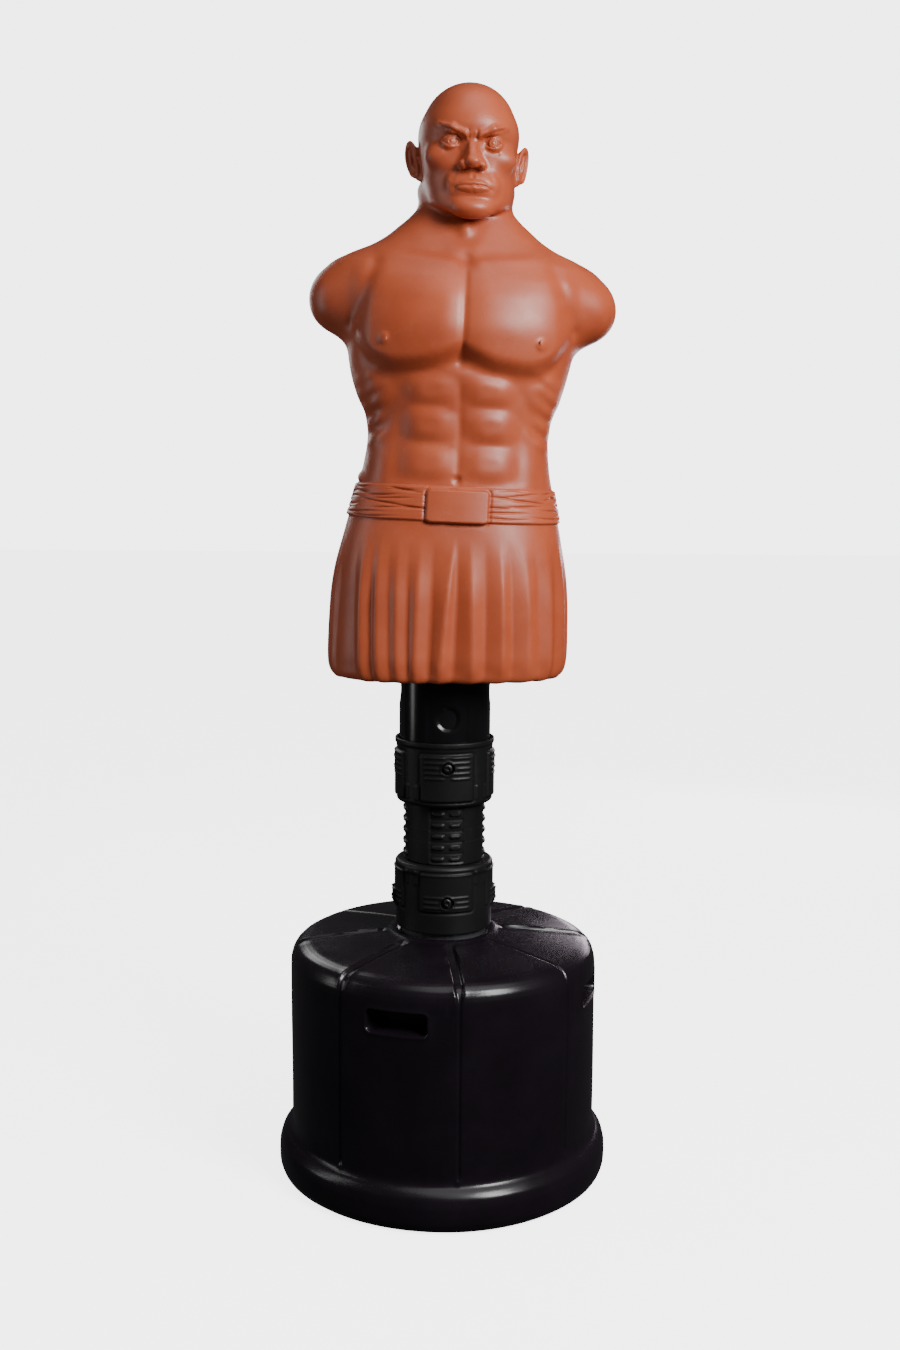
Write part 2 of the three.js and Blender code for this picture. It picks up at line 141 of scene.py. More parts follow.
def capsule(x, y, z, a, b, ra, rb):
    """Distance to a rod from a to b whose radius goes from ra to rb."""
    ax, ay, az = a
    d = np.array(b, float) - np.array(a, float)
    px, py, pz = x - ax, y - ay, z - az
    t = np.clip((px * d[0] + py * d[1] + pz * d[2]) / (d @ d), 0, 1)
    away = np.sqrt((px - t * d[0]) ** 2 + (py - t * d[1]) ** 2 + (pz - t * d[2]) ** 2)
    return away - (ra + (rb - ra) * t)


# ------------ the figure as a distance field
# The field is written upright: u across, y to the rear, w up. `leaned` then tips it.

HALF_WIDTH = [
    (826, 183), (845, 188), (870, 189.5), (930, 188), (990, 184), (1045, 175), (1093, 164), (1125, 156),
    (1160, 148), (1204, 143), (1236, 147), (1267, 160), (1300, 170), (1330, 176), (1365, 180), (1400, 184),
    (1440, 191), (1466, 192), (1484, 172), (1500, 143), (1514, 121), (1529, 103), (1544, 86), (1556, 76),
    (1570, 71), (1620, 70),
]
FRONT = [
    (826, 126), (870, 132), (950, 132), (1010, 128), (1060, 122), (1100, 116), (1150, 110), (1204, 107),
    (1260, 112), (1300, 119), (1340, 127), (1375, 131), (1410, 128), (1440, 119), (1468, 102), (1490, 84),
    (1510, 70), (1540, 58), (1580, 54), (1620, 52),
]
BACK = [
    (826, 116), (870, 124), (940, 131), (1000, 128), (1060, 112), (1110, 98), (1160, 91), (1204, 90),
    (1260, 98), (1320, 110), (1380, 120), (1430, 123), (1470, 117), (1500, 104), (1530, 88), (1560, 76),
    (1600, 70), (1620, 70),
]
SQUARE = [
    (826, 2.5), (1000, 2.45), (1150, 2.35), (1300, 2.4), (1440, 2.35), (1490, 2.1), (1540, 2.0), (1620, 2.0),
]
NECK_TOP = 1600.0


def torso_field(u, y, w):
    depth = np.where(y < 0, curve(FRONT, w), curve(BACK, w))
    side = section(u, y, curve(HALF_WIDTH, w), depth, curve(SQUARE, w))
    d = smax(side, w - NECK_TOP, 20)
    return smax(d, HEM - w, 14)


def arm_field(u, y, w):
    x = np.abs(u)
    upper = ellipsoid(x, y, w, (160, 4, 1424), (72, 70, 56))
    stub = ellipsoid(x, y, w, (191, 0, 1409), (49, 55, 47))
    d = smin(upper, stub, 22)
    under = ellipsoid(x, y, w, (174, 0, 1393), (36, 48, 32))
    return smin(d, under, 18)


def head_place(u, y, w):
    """Head coordinates: x across, y to the rear, z up, from the middle of the skull, turned with the face."""
    x, y = rotated(u - HEAD_MIDDLE[0], y - HEAD_MIDDLE[1], HEAD_TURN)
    z = w - HEAD_MIDDLE[2]
    return x - JAW_SHIFT * ramp(-z, 5, 75), y, z


HEAD_MIDDLE = (-2.0, -8.0, 1644.0)
HEAD_TURN = math.radians(2.7)
JAW_SHIFT = 6.0
EYE = (31.4, -71.0, -1.5)
EYE_RADIUS = 14.0
EAR_TURN = math.radians(36)
HEAD_WIDTH = [
    (-112, 33), (-102, 48), (-92, 59), (-82, 65), (-70, 68), (-50, 71), (-20, 73.5), (20, 75), (60, 75),
]
HEAD_FRONT = [
    (-112, 80), (-100, 85), (-88, 86), (-72, 84), (-45, 81), (-20, 82), (0, 82), (12, 90), (26, 94), (60, 92),
]
HEAD_BACK = [(-112, 30), (-86, 44), (-60, 62), (-30, 80), (0, 92), (60, 98)]
NOSE_RIDGE = [(-40, 107), (-33, 109), (-22, 103), (-8, 95), (4, 89), (14, 88)]
NOSE_WIDTH = [(-40, 8), (-30, 6.5), (-18, 4.6), (0, 5), (14, 8)]


def nose_field(a, y, z):
    back = y + curve(NOSE_RIDGE, z)
    side = (a - curve(NOSE_WIDTH, z) - 0.5 * np.maximum(back, -4)) / 1.12
    d = np.maximum(smax(side, -back, 3.5), y + 66)
    return smax(smax(d, -z - 39.5 - 0.28 * (y + 88), 4), z - 14, 6)


def ear_field(b, e, z):
    plate = ellipsoid(b, e, z, (0, 8, -13), (5, 14.5, 28))
    d = smin(plate, ellipsoid(b, e, z, (0.5, 2, -36), (4.5, 7.5, 7.5)), 5)
    q = np.hypot((e - 8) / 12.5, (z + 12) / 25.5)
    missing = ramp(-e + 0.25 * (z + 12), 3, 9) * ramp(-z, 2, 12) + ramp(-z, 34, 42)
    rim = np.hypot((q - 1) * 15.5, b - 4.2) - 3.4 * (1 - np.clip(missing, 0, 0.9))
    d = smin(d, rim, 2.5)
    d = smax(d, -ellipsoid(b, e, z, (9.0, 5.5, -13), (7.5, 7.0, 13)), 2.5)
    inner = capsule(b, e, z, (3.5, 10, 2), (3.5, 12.5, -16), 2.4, 2.0)
    return smin(smin(d, inner, 3), ellipsoid(b, e, z, (2, -5, -14), (4.5, 4.0, 6)), 3)


def head_field(u, y, w):
    x, y, z = head_place(u, y, w)
    a = np.abs(x)

    def ball(centre, radii):
        return ellipsoid(a, y, z, centre, radii)

    def rod(p, q, r, s):
        return capsule(a, y, z, p, q, r, s)

    depth = np.where(y < 0, curve(HEAD_FRONT, z), curve(HEAD_BACK, z))
    block = section(a, y, curve(HEAD_WIDTH, z), depth, 2.35)
    under = 0.31 * (y + 84) - 0.951 * (z + 110)
    block = smax(smax(block, under, 14), z - 44, 30)
    d = smin(ball((0, 3, 28), (73.5, 96, 74)), block, 16)
    d = smin(d, ball((0, -76, -96), (27, 16, 13)), 14)
    d = smin(d, ball((47, -58, -21), (21, 17, 13)), 20)
    d = smin(d, ball((0, -75, -63), (38, 18, 22)), 12)
    d = smax(d, -ball((31, -99, -1), (20, 21, 12.5)), 7)
    d = smin(d, rod((10, -89, 9), (30, -88, 16), 6.5, 6.5), 5)
    d = smin(d, rod((30, -88, 16), (50, -73, 23), 6.5, 4), 5)
    d = smin(d, nose_field(a, y, z), 5)
    d = smin(d, ball((0, -100.5, -33), (10.5, 9.5, 8.5)), 5)
    d = smin(d, ball((14.5, -91, -36), (6.6, 10.5, 6.8)), 2.5)
    opening = np.abs(z - EYE[2] + 0.3) - 6.8 * (1 - ((a - EYE[0]) / 14.0) ** 2)
    lids = smax(ball(EYE, (16.2, 16.2, 16.2)), -np.maximum(opening, y + 70), 1.2)
    d = smin(d, lids, 2.5)
    d = smax(d, -ball((7.0, -98, -45.0), (3.4, 6, 3.2)), 1.5)
    e = y - 0.2 * (z + 14) - 2
    b = a - 0.17 * (z + 14) - 77.5
    d = smin(d, ear_field(*rotated(b, e, -EAR_TURN), z + 4), 5)
    gaze = np.hypot(a - EYE[0], z - EYE[2])
    globe = ball(EYE, (EYE_RADIUS,) * 3)
    return np.minimum(d, globe - 1.3 * bump(gaze - 5.4, 1.0) - 1.5 * bump(gaze, 1.7))


LIP_LINE = [(0, -64.5), (5, -65.6), (12, -65.2), (20, -66.2), (26, -68.4), (40, -72)]
BROW_LINE = [(7, 7.5), (28, 15.5), (49, 23.5), (60, 26)]


def face_relief(a, z):
    """Lips, brows, furrows and folds of the face, seen from the front of the head."""
    u = np.clip(a / 26.5, 0, 1)
    full = (1 - u ** 2.6) ** 0.6
    off = z - curve(LIP_LINE, a)
    upper, lower = np.clip(off / (9.5 * full + 0.01), 0, 1), np.clip(-off / (11.0 * full + 0.01), 0, 1)
    h = np.where(off > 0, 3.9 * (1 - upper ** 2), 4.6 * (1 - lower ** 2)) * full
    h -= 3.6 * np.exp(-((off / 1.3) ** 2)) * fade(a, 24, 30)
    h -= 1.5 * spot(a, z, (29.5, -69.5), (3.4, 4.0))
    h -= 2.6 * spot(a, z, (0, -81.5), (16, 3.6))
    h += 2.2 * spot(a, z, (0, -97), (18, 7))
    h += pulse(z, -56, -48, 3.5) * (0.5 * bump(a - 4.6, 2.0) - 0.8 * bump(a, 2.2))
    fold = line_distance(a, z, (21, -40), (31, -56))
    h -= 0.9 * bump(fold, 2.6)
    h += 1.6 * spot(a, z, (33, -44), (7, 12), 28)
    along = z - curve(BROW_LINE, a)
    thick = 4.6 - 0.045 * a
    brow = pulse(along, -thick, thick, 1.5) * pulse(a, 9, 49, 3.0)
    h += 1.5 * brow - 1.0 * bump(along + thick + 1.8, 1.6) * pulse(a, 14, 46, 4)
    h -= 1.3 * bump(line_distance(a, z, (5.4, 3), (7.0, 13)), 1.2)
    h += 0.8 * spot(a, z, (0, 9), (3.2, 6))
    h -= 0.8 * bump(line_distance(a, z, (20, -12), (40, -15)), 2.2)
    return h


def neck_field(u, y, w):
    a = np.abs(u)
    d = capsule(a, y, w, (58, 12, 1586), (14, -74, 1474), 16, 8)
    return smin(d, ellipsoid(a, y, w, (0, -62, 1518), (9, 10, 12)), 12)


SWAY = [
    (826, -1), (1000, -2), (1204, 0), (1300, -3), (1400, -1), (1500, -3), (1560, -4), (1640, -2), (1750, -1),
]
FIGURE_TURN = math.radians(1.2)


def turned(u, y, w):
    """Undoes the figure's small turn and sideways sway, so that its parts are written straight."""
    return rotated(u - curve(SWAY, w), y, FIGURE_TURN)


NECK_START = 1440.0


def figure_field(u, y, w):
    u, y = turned(u, y, w)
    d = smin(torso_field(u, y, w), arm_field(u, y, w), 30)
    if np.max(w) < NECK_START:
        return d
    if np.ndim(w) > 1:
        d = smin(d, neck_field(u, y, w), 16)
        return smin(d, head_field(u, y, w), 7)
    high = w > NECK_START
    u, y, w = u[high], y[high], w[high]
    d[high] = smin(smin(d[high], neck_field(u, y, w), 16), head_field(u, y, w), 7)
    return d


# ------------ surface relief of the figure


def pulse(x, a, b, soft):
    """1 between a and b, with soft ends."""
    return ramp(x, a - soft, a + soft) * fade(x, b - soft, b + soft)


def spot(u, w, centre, radii, tilt=0.0):
    p, q = rotated(u - centre[0], w - centre[1], math.radians(tilt))
    return np.exp(-0.5 * ((p / radii[0]) ** 2 + (q / radii[1]) ** 2))


def line_distance(u, w, p, q):
    d = np.array(q, float) - np.array(p, float)
    t = np.clip(((u - p[0]) * d[0] + (w - p[1]) * d[1]) / (d @ d), 0, 1)
    return np.hypot(u - p[0] - t * d[0], w - p[1] - t * d[1])


PEC_EDGE = [(0, 1326), (22, 1316), (58, 1304), (98, 1300), (128, 1308), (152, 1332), (172, 1366)]
ABS_ROWS = [(1276, 24, 41, 5.0), (1223, 27, 44, 7.0), (1166, 28, 44, 5.6)]
NIPPLE = (119, 1348)
SERRATUS = [(138, 1296), (143, 1272), (141, 1248), (135, 1224), (127, 1201)]


def front_relief(u, w):
    a = np.abs(u)
    edge = w - curve(PEC_EDGE, a)
    chest = ramp(edge, -4, 24) * (1 - 0.75 * ramp(w, 1345, 1468)) * fade(a, 138, 180)
    h = 15 * chest * fade(w, 1440, 1478)
    h -= 3.0 * bump(edge + 8, 8) * fade(a, 120, 168)
    centre = pulse(w, 1312, 1456, 14)
    h -= centre * (2.8 * bump(a, 4.0) + 5.0 * bump(a, 15))
    for middle, tall, wide, depth in ABS_ROWS:
        q = (np.abs((a - wide - 3) / wide) ** 2.6 + np.abs((w - middle) / tall) ** 2.6) ** (1 / 2.6)
        h += depth * fade(q, 0.3, 1.16)
    trunk = pulse(w, 1132, 1288, 10)
    h -= 1.2 * bump(a, 4.5) * trunk
    h -= 2.2 * bump(a - (96 - 0.06 * (w - 1140)), 10) * trunk
    h += 3.0 * spot(a, w, (118, 1165), (22, 24), -20)
    for place in SERRATUS:
        h += 4.0 * spot(a, w, place, (18, 6.5), -32)
    h -= 2.2 * bump(line_distance(a, w, (98, 1272), (118, 1215)), 8)
    h -= 5.0 * spot(a, w, (0, 1141), (3.2, 4.6))
    h += 1.5 * spot(a, w, (0, 1149), (6, 2.5))
    collar = 1461 + 0.16 * a
    h += 3.2 * bump(w - collar, 7) * pulse(a, 16, 132, 12)
    h -= 2.4 * bump(w - collar - 16, 10) * pulse(a, 24, 100, 16)
    h -= 7.0 * spot(a, w, (0, 1470), (9, 9))
    h -= 4.5 * bump(line_distance(a, w, (136, 1462), (168, 1376)), 8)
    round_the_nipple = np.hypot(a - NIPPLE[0], w - NIPPLE[1])
    h += 1.6 * np.exp(-((round_the_nipple / 9) ** 4)) + 4.6 * np.exp(-((round_the_nipple / 4.2) ** 2))
    return h


def back_relief(u, w):
    a = np.abs(u)
    h = -6.0 * bump(a, 7) * pulse(w, 1150, 1500, 40)
    h += 4.5 * bump(a - 27, 15) * pulse(w, 1130, 1330, 40)
    h += 6.0 * spot(a, w, (76, 1408), (34, 44), 12)
    h -= 3.0 * bump(line_distance(a, w, (40, 1360), (92, 1345)), 8)
    h += 4.0 * spot(a, w, (112, 1310), (34, 46), 14)
    h += 3.0 * spot(a, w, (38, 1480), (30, 40), 30)
    h -= 2.5 * bump(line_distance(a, w, (34, 1130), (60, 1165)), 7)
    return h


BELT = (1078.0, 1130.0)
BUCKLE = (2.5, 1101.0, 48.5, 26.0)
BELT_RISE, BUCKLE_RISE = 4.5, 9.5


def belt_relief(u, y, w, turn):
    low = BELT[0] + 4 * (1 - np.cos(turn)) * 0.5
    band = pulse(w, low, BELT[1], 1.6)
    h = BELT_RISE * band
    for i in range(9):
        wave = 1.9 * np.sin(turn * (2.3 + 0.9 * i) + 1.9 * i) + 1.1 * np.sin(turn * (9 - 0.6 * i) + 2.3 * i)
        deep = np.clip(0.5 + 0.7 * np.sin(turn * (5.3 + 0.8 * i) + 1.3 * i * i), 0.06, 1)
        h -= 2.1 * deep * band * bump(w - (BELT[0] + 5.5 + 5.3 * i + wave), 1.05)
    front = y < 0
    outside = rounded_box(u - BUCKLE[0], w - BUCKLE[1], BUCKLE[2], BUCKLE[3], 7)
    plate = fade(outside, -2.4, 0.4) * front
    h = h * (1 - plate) + (BUCKLE_RISE - 1.2 * ((u - BUCKLE[0]) / 50) ** 2) * plate
    h -= 1.6 * bump(outside - 1.6, 1.6) * front
    degrees = np.degrees(turn)
    knot = spot(degrees, w, (-76, 1142), (5, 5)) + 0.7 * spot(degrees, w, (-70, 1136), (4, 3))
    return h + 5.0 * knot


FRONT_FOLDS = [
    (-52, -47, -3.2), (-46, -42, 3.0), (-41, -37, -3.4), (-37, -33, 3.2), (-32, -28, -3.0),
    (-27, -23.5, 2.6), (-22, -19.5, -3.0), (-16, -15.5, 4.4), (-9.5, -10.2, -4.2), (0.6, -4.6, 5.0),
    (2.2, 1.8, -4.6), (8, 11, 4.8), (16, 17, -4.0), (23, 24.5, 4.2), (28, 30.5, -3.8), (36, 37.5, 3.4),
    (42, 46, -3.0),
]


def folds():
    """Ridges and valleys of the skirt round the body: angle at the waist, angle at the hem and height."""
    rng = np.random.default_rng(11)
    rest = []
    place, side = 51.0, 1
    while place < 300:
        rest.append((place + rng.normal(0, 1.2), place, side * rng.uniform(2.8, 4.8)))
        place += rng.uniform(5.0, 8.5)
        side = -side
    if len(rest) % 2:
        rest.pop()
    return [(math.radians(a), math.radians(b), h) for a, b, h in FRONT_FOLDS + rest]


FOLDS = folds()


def skirt_relief(u, y, w, turn):
    fall = np.clip((BELT[0] - 14 - w) / (BELT[0] - 14 - HEM), 0, 1)
    h = np.zeros_like(w)
    for one, other in zip(FOLDS, FOLDS[1:] + FOLDS[:1]):
        start = one[0] + (one[1] - one[0]) * fall
        end = other[0] + (other[1] - other[0]) * fall
        width = np.mod(end - start, 2 * math.pi)
        s = np.mod(turn - start, 2 * math.pi) / width
        slope = 0.85 * s + 0.15 * ramp(s, 0, 1)
        h += np.where(s < 1, one[2] + (other[2] - one[2]) * slope, 0)
    h *= (0.08 + 0.92 * ramp(fall, 0.04, 0.5)) * ramp(fall, 0.02, 0.14)
    return 1.2 * h * (0.3 + 0.7 * ramp(w - HEM, 2, 26))


def relief(u, y, w):
    """How far the surface stands out of the plain figure, in mm."""
    u, y = turned(u, y, w)
    depth = np.where(y < 0, curve(FRONT, w), curve(BACK, w))
    ahead = -y / depth
    h = np.zeros_like(w)
    part = (w > 1120) & (w < 1585)
    a, b, c = u[part], w[part], ahead[part]
    trunk = ramp(b, 1126, 1140)
    h[part] += front_relief(a, b) * ramp(c, 0.05, 0.5) * trunk * fade(b, 1500, 1560)
    h[part] += back_relief(a, b) * ramp(-c, 0.1, 0.5) * trunk * fade(b, 1530, 1580)
    part = (w > 1530) & (w < 1690)
    x, back, z = head_place(u[part], y[part], w[part])
    face = ramp(-back, 48, 72) * fade(z, 30, 40) * ramp(z, -114, -106)
    h[part] += face_relief(np.abs(x), z) * face
    part = w < 1165
    turn = np.arctan2(u[part] / curve(HALF_WIDTH, w[part]), ahead[part])
    h[part] += belt_relief(u[part], y[part], w[part], turn) + skirt_relief(u[part], y[part], w[part], turn)
    return h


RECESS_RADIUS, RECESS_TOP = 113.0, HEM + 35.0
SKIN_EDGE, FOAM_DEPTH = 7.0, 60.0


def skin_field(u, y, w, fine=True):
    """The vinyl skin: the figure with its relief, hollowed from below, where the foam sits."""
    d = figure_field(u, y, w)
    if fine:
        d = d - relief(u, y, w)
        d = smax(d, HEM - w, 6)
    if np.min(w) > HEM + FOAM_DEPTH + 20:
        return d
    hollow = np.maximum(torso_field(*turned(u, y, w)[:2], w + 0 * u) + SKIN_EDGE, w - HEM - FOAM_DEPTH)
    return np.maximum(d, -hollow)


def foam_field(u, y, w, fine=True):
    """The lower end of the foam, with the round recess for the fittings."""
    d = torso_field(*turned(u, y, w)[:2], w + 0 * u) + SKIN_EDGE + 0.4
    across = u + FOOT_OFFSET + LEAN * (w - HEM)
    recess = smax(np.hypot(across, y) - RECESS_RADIUS, w - RECESS_TOP, 3)
    d = smax(d, HEM + 2 - w, 3)
    return smax(smax(d, w - HEM - FOAM_DEPTH + 1, 2), -recess, 3)


# ------------ a closed mesh from a distance field


def lines(*stretches):
    """Grid lines: each stretch is (from, to, step)."""
    parts = [np.linspace(a, b, max(2, int(round((b - a) / step)) + 1))[:-1] for a, b, step in stretches]
    return np.concatenate(parts + [[stretches[-1][1]]])


def line_ends(axis):
    """Picks the first and the second end of every grid line along an axis."""
    low, high = [slice(None)] * 3, [slice(None)] * 3
    low[axis], high[axis] = slice(None, -1), slice(1, None)
    return tuple(low), tuple(high)


def surface_net(values, xs, ys, zs):
    """Vertices and quads of the zero surface of `values` on a rectangular grid (naive surface nets)."""
    shape = [len(xs) - 1, len(ys) - 1, len(zs) - 1]
    total = np.zeros(shape + [3], np.float32)
    count = np.zeros(shape, np.float32)
    grids = (xs, ys, zs)
    inside = values < 0
    for axis in range(3):
        low, high = line_ends(axis)
        va, vb = values[low], values[high]
        hit = inside[low] != inside[high]
        i = np.argwhere(hit)
        t = va[hit] / (va[hit] - vb[hit])
        place = [grids[k][i[:, k]] for k in range(3)]
        place[axis] = place[axis] + t * (grids[axis][i[:, axis] + 1] - grids[axis][i[:, axis]])
        place = np.stack(place, 1)
        others = [k for k in range(3) if k != axis]
        for da in (0, -1):
            for db in (0, -1):
                cell = i.copy()
                cell[:, others[0]] += da
                cell[:, others[1]] += db
                good = ((cell >= 0) & (cell < shape)).all(1)
                c = cell[good]
                np.add.at(total, (c[:, 0], c[:, 1], c[:, 2]), place[good])
                np.add.at(count, (c[:, 0], c[:, 1], c[:, 2]), 1)
    used = count > 0
    number = np.full(shape, -1, np.int64)
    number[used] = np.arange(used.sum())
    vertices = total[used] / count[used][:, None]
    quads = []
    for axis in range(3):
        low, high = line_ends(axis)
        a, b = inside[low], inside[high]
        i = np.argwhere(a != b)
        out = a[a != b]
        o1, o2 = (axis + 1) % 3, (axis + 2) % 3
        ring = []
        for d1, d2 in ((-1, -1), (0, -1), (0, 0), (-1, 0)):
            c = i.copy()
            c[:, o1] += d1
            c[:, o2] += d2
            ring.append(number[c[:, 0], c[:, 1], c[:, 2]])
        ring = np.stack(ring, 1)
        quads.append(np.where(out[:, None], ring, ring[:, ::-1]))
    return vertices, np.concatenate(quads)


def settle(points, field, rounds=5):
    """Moves points along the field's slope onto its zero surface."""
    p = points.astype(float)
    eps = 0.25
    for _ in range(rounds):
        f = field(p[:, 0], p[:, 1], p[:, 2])
        slope = np.stack([
            field(p[:, 0] + eps, p[:, 1], p[:, 2]) - f,
            field(p[:, 0], p[:, 1] + eps, p[:, 2]) - f,
            field(p[:, 0], p[:, 1], p[:, 2] + eps) - f,
        ], 1) / eps
        length = np.maximum((slope ** 2).sum(1), 0.09)
        step = -f[:, None] * slope / length[:, None]
        size = np.linalg.norm(step, axis=1, keepdims=True)
        p += step * np.minimum(1, 3.0 / np.maximum(size, 1e-9))
    return p


def leaned(p):
    """Upright figure coordinates to the row frame."""
    u, y, w = p.T
    rise = w - HEM
    share = ramp(rise, 0, LEAN_START)
    return np.stack([u + FOOT_OFFSET + LEAN * np.maximum(rise, 0), y, w - LEAN * u * share], 1)


def mesh_object(name, points, faces, smooth=True):
    """A Blender object from points in mm."""
    mesh = bpy.data.meshes.new(name)
    faces = faces if isinstance(faces, list) else faces.tolist()
    mesh.from_pydata((np.asarray(points) * MM).tolist(), [], faces)
    mesh.validate()
    mesh.update()
    if smooth:
        mesh.shade_smooth()
    obj = bpy.data.objects.new(name, mesh)
    bpy.context.scene.collection.objects.link(obj)
    return obj


def relaxed(points, quads, rounds=2):
    """Each point moves half way to the middle of its neighbours."""
    ends = np.concatenate([quads[:, [0, 1]], quads[:, [1, 2]], quads[:, [2, 3]], quads[:, [3, 0]]])
    ends = np.concatenate([ends, ends[:, ::-1]])
    number = np.bincount(ends[:, 0], minlength=len(points))[:, None]
    for _ in range(rounds):
        sums = [np.bincount(ends[:, 0], points[ends[:, 1], k], len(points)) for k in range(3)]
        middle = np.stack(sums, 1)
        points = 0.5 * points + 0.5 * middle / number
    return points


def refined(points, quads, chosen):
    """Splits each chosen quad in four. A quad beside them takes in their edge points and stays one face."""
    ends = np.sort(np.stack([quads, np.roll(quads, -1, 1)], 2), 2)
    key = ends[..., 0] * len(points) + ends[..., 1]
    split = np.unique(key[chosen])
    pairs = np.stack([split // len(points), split % len(points)], 1)
    place = np.minimum(np.searchsorted(split, key), len(split) - 1)
    middle = np.where(split[place] == key, len(points) + place, -1)
    centre = len(points) + len(split) + np.arange(chosen.sum())
    new = np.concatenate([points, points[pairs].mean(1), points[quads[chosen]].mean(1)])
    old, edge = quads[chosen], middle[chosen]
    four = [np.stack([old[:, k], edge[:, k], centre, edge[:, k - 1]], 1) for k in range(4)]
    beside = ~chosen & (middle >= 0).any(1)
    joined = [[v for pair in zip(face, extra) for v in pair if v >= 0]
              for face, extra in zip(quads[beside].tolist(), middle[beside].tolist())]
    return new, np.concatenate(four), quads[~chosen & ~beside], joined


def figure_mesh():
    xs = lines((-252, -200, 5.2), (-200, -100, 4.6), (-100, 104, 2.75), (104, 204, 4.6), (204, 258, 5.4))
    ys = lines((-152, -60, 3.0), (-60, -20, 4.0), (-20, 42, 2.8), (42, 146, 5.4))
    zs = lines((HEM - 8, HEM + 14, 3), (HEM + 14, 1068, 6.0), (1068, 1138, 2.2), (1138, 1520, 4.2),
               (1520, 1686, 2.5), (1686, 1758, 4.2))
    neck = int(np.searchsorted(zs, NECK_START))
    blocks = []
    for some in (zs[:neck], zs[neck:]):
        grid = np.meshgrid(xs, ys, some, indexing="ij", sparse=True)
        blocks.append(skin_field(*grid, fine=False).astype(np.float32))
    points, quads = surface_net(np.concatenate(blocks, 2), xs, ys, zs)
    points = settle(points, skin_field, 4)
    points = settle(relaxed(points, quads), skin_field, 2)
    u, back, w = points[quads].mean(1).T
    x, y, z = head_place(*turned(u, back, w), w)
    face = (y < -52) & (np.abs(x) < 58) & (np.abs(z + 36) < 76)
    ears = (np.abs(x) > 68) & (np.abs(z + 14) < 40) & (np.abs(y - 6) < 34)
    nipples = (back < -20) & (np.hypot(np.abs(u) - NIPPLE[0], w - NIPPLE[1]) < 22)
    belt = (back < 10) & (np.abs(w - sum(BELT) / 2) < 30)
    points, split, whole, joined = refined(points, quads, face | ears | nipples | belt)
    fine = np.unique(np.concatenate([split.ravel(), np.array(sum(joined, []), int)]))
    points[fine] = settle(points[fine], skin_field, 4)
    return leaned(points), split.tolist() + whole.tolist() + joined


def foam_mesh():
    xs, ys = lines((-206, 206, 5)), lines((-146, 146, 5))
    zs = lines((HEM - 4, HEM + 44, 3), (HEM + 44, HEM + FOAM_DEPTH + 8, 4))
    grid = np.meshgrid(xs, ys, zs, indexing="ij", sparse=True)
    points, quads = surface_net(foam_field(*grid).astype(np.float32), xs, ys, zs)
    return leaned(settle(points, foam_field, 3)), quads


# ------------ turned pieces with relief


def turned_piece(name, profile, turns, push=None, closed=False, level=False):
    """A piece turned about Z from (radius, height) points. Push moves its surface out, or level, in mm."""
    profile = np.array(profile, float)
    before, after = np.roll(profile, 1, 0), np.roll(profile, -1, 0)
    if not closed:
        before[0], after[-1] = profile[0], profile[-1]
    along = after - before
    along /= np.maximum(np.linalg.norm(along, axis=1, keepdims=True), 1e-9)
    r = profile[:, :1] + 0 * turns
    z = profile[:, 1:] + 0 * turns
    a = turns + 0 * r
    if push:
        d = push(r, z, a)
        r, z = (r + d, z) if level else (r + along[:, 1:] * d, z - along[:, :1] * d)
    points = np.stack([r * np.sin(a), -r * np.cos(a), z], 2).reshape(-1, 3)
    rows, columns = len(profile), len(turns)
    i = np.arange(rows if closed else rows - 1)[:, None]
    j = np.arange(columns)[None, :]
    i2, j2 = (i + 1) % rows, (j + 1) % columns
    faces = np.stack([i * columns + j, i * columns + j2, i2 * columns + j2, i2 * columns + j], 2)
    obj = mesh_object(name, points, faces.reshape(-1, 4))
    tidy_mesh(obj)
    return obj


def tidy_mesh(obj, sharp=50):
    """Joins doubled points, drops empty faces and shades smooth except at sharp edges."""
    work = bmesh.new()
    work.from_mesh(obj.data)
    bmesh.ops.remove_doubles(work, verts=work.verts, dist=2e-6)
    bmesh.ops.dissolve_degenerate(work, edges=work.edges, dist=1e-7)
    work.to_mesh(obj.data)
    work.free()
    obj.data.shade_smooth()
    obj.data.set_sharp_from_angle(angle=math.radians(sharp))


def spaced(points, step):
    """The outline's points with more put between them, no further apart than `step`."""
    out = [points[0]]
    for p, q in zip(points, points[1:]):
        n = max(1, int(math.ceil(math.dist(p, q) / step)))
        out += [(p[0] + (q[0] - p[0]) * k / n, p[1] + (q[1] - p[1]) * k / n) for k in range(1, n + 1)]
    return out


def rounded(points, radius, steps=4):
    """The outline with its inner corners rounded."""
    out = [points[0]]
    for p, q, r in zip(points, points[1:], points[2:]):
        p, q, r = (np.array(v, float) for v in (p, q, r))
        back, ahead = p - q, r - q
        cut = min(radius, 0.45 * np.linalg.norm(back), 0.45 * np.linalg.norm(ahead))
        a = q + back / np.linalg.norm(back) * cut
        b = q + ahead / np.linalg.norm(ahead) * cut
        for k in range(steps + 1):
            t = k / steps
            out.append(tuple((1 - t) ** 2 * a + 2 * t * (1 - t) * q + t ** 2 * b))
    return out + [points[-1]]


def turns_with(step, *dense):
    """Angles round the piece in radians; each dense is (middle, half width, step), all in degrees."""
    out = set(np.round(np.arange(0, 360, step), 3))
    for middle, half, fine in dense:
        out = {v for v in out if abs((v - middle + 180) % 360 - 180) > half}
        out |= set(np.round((middle + np.arange(-half, half + fine / 2, fine)) % 360, 3))
    kept = []
    for v in sorted(out):
        if not kept or v - kept[-1] > 0.1:
            kept.append(v)
    return np.radians(np.array(kept))


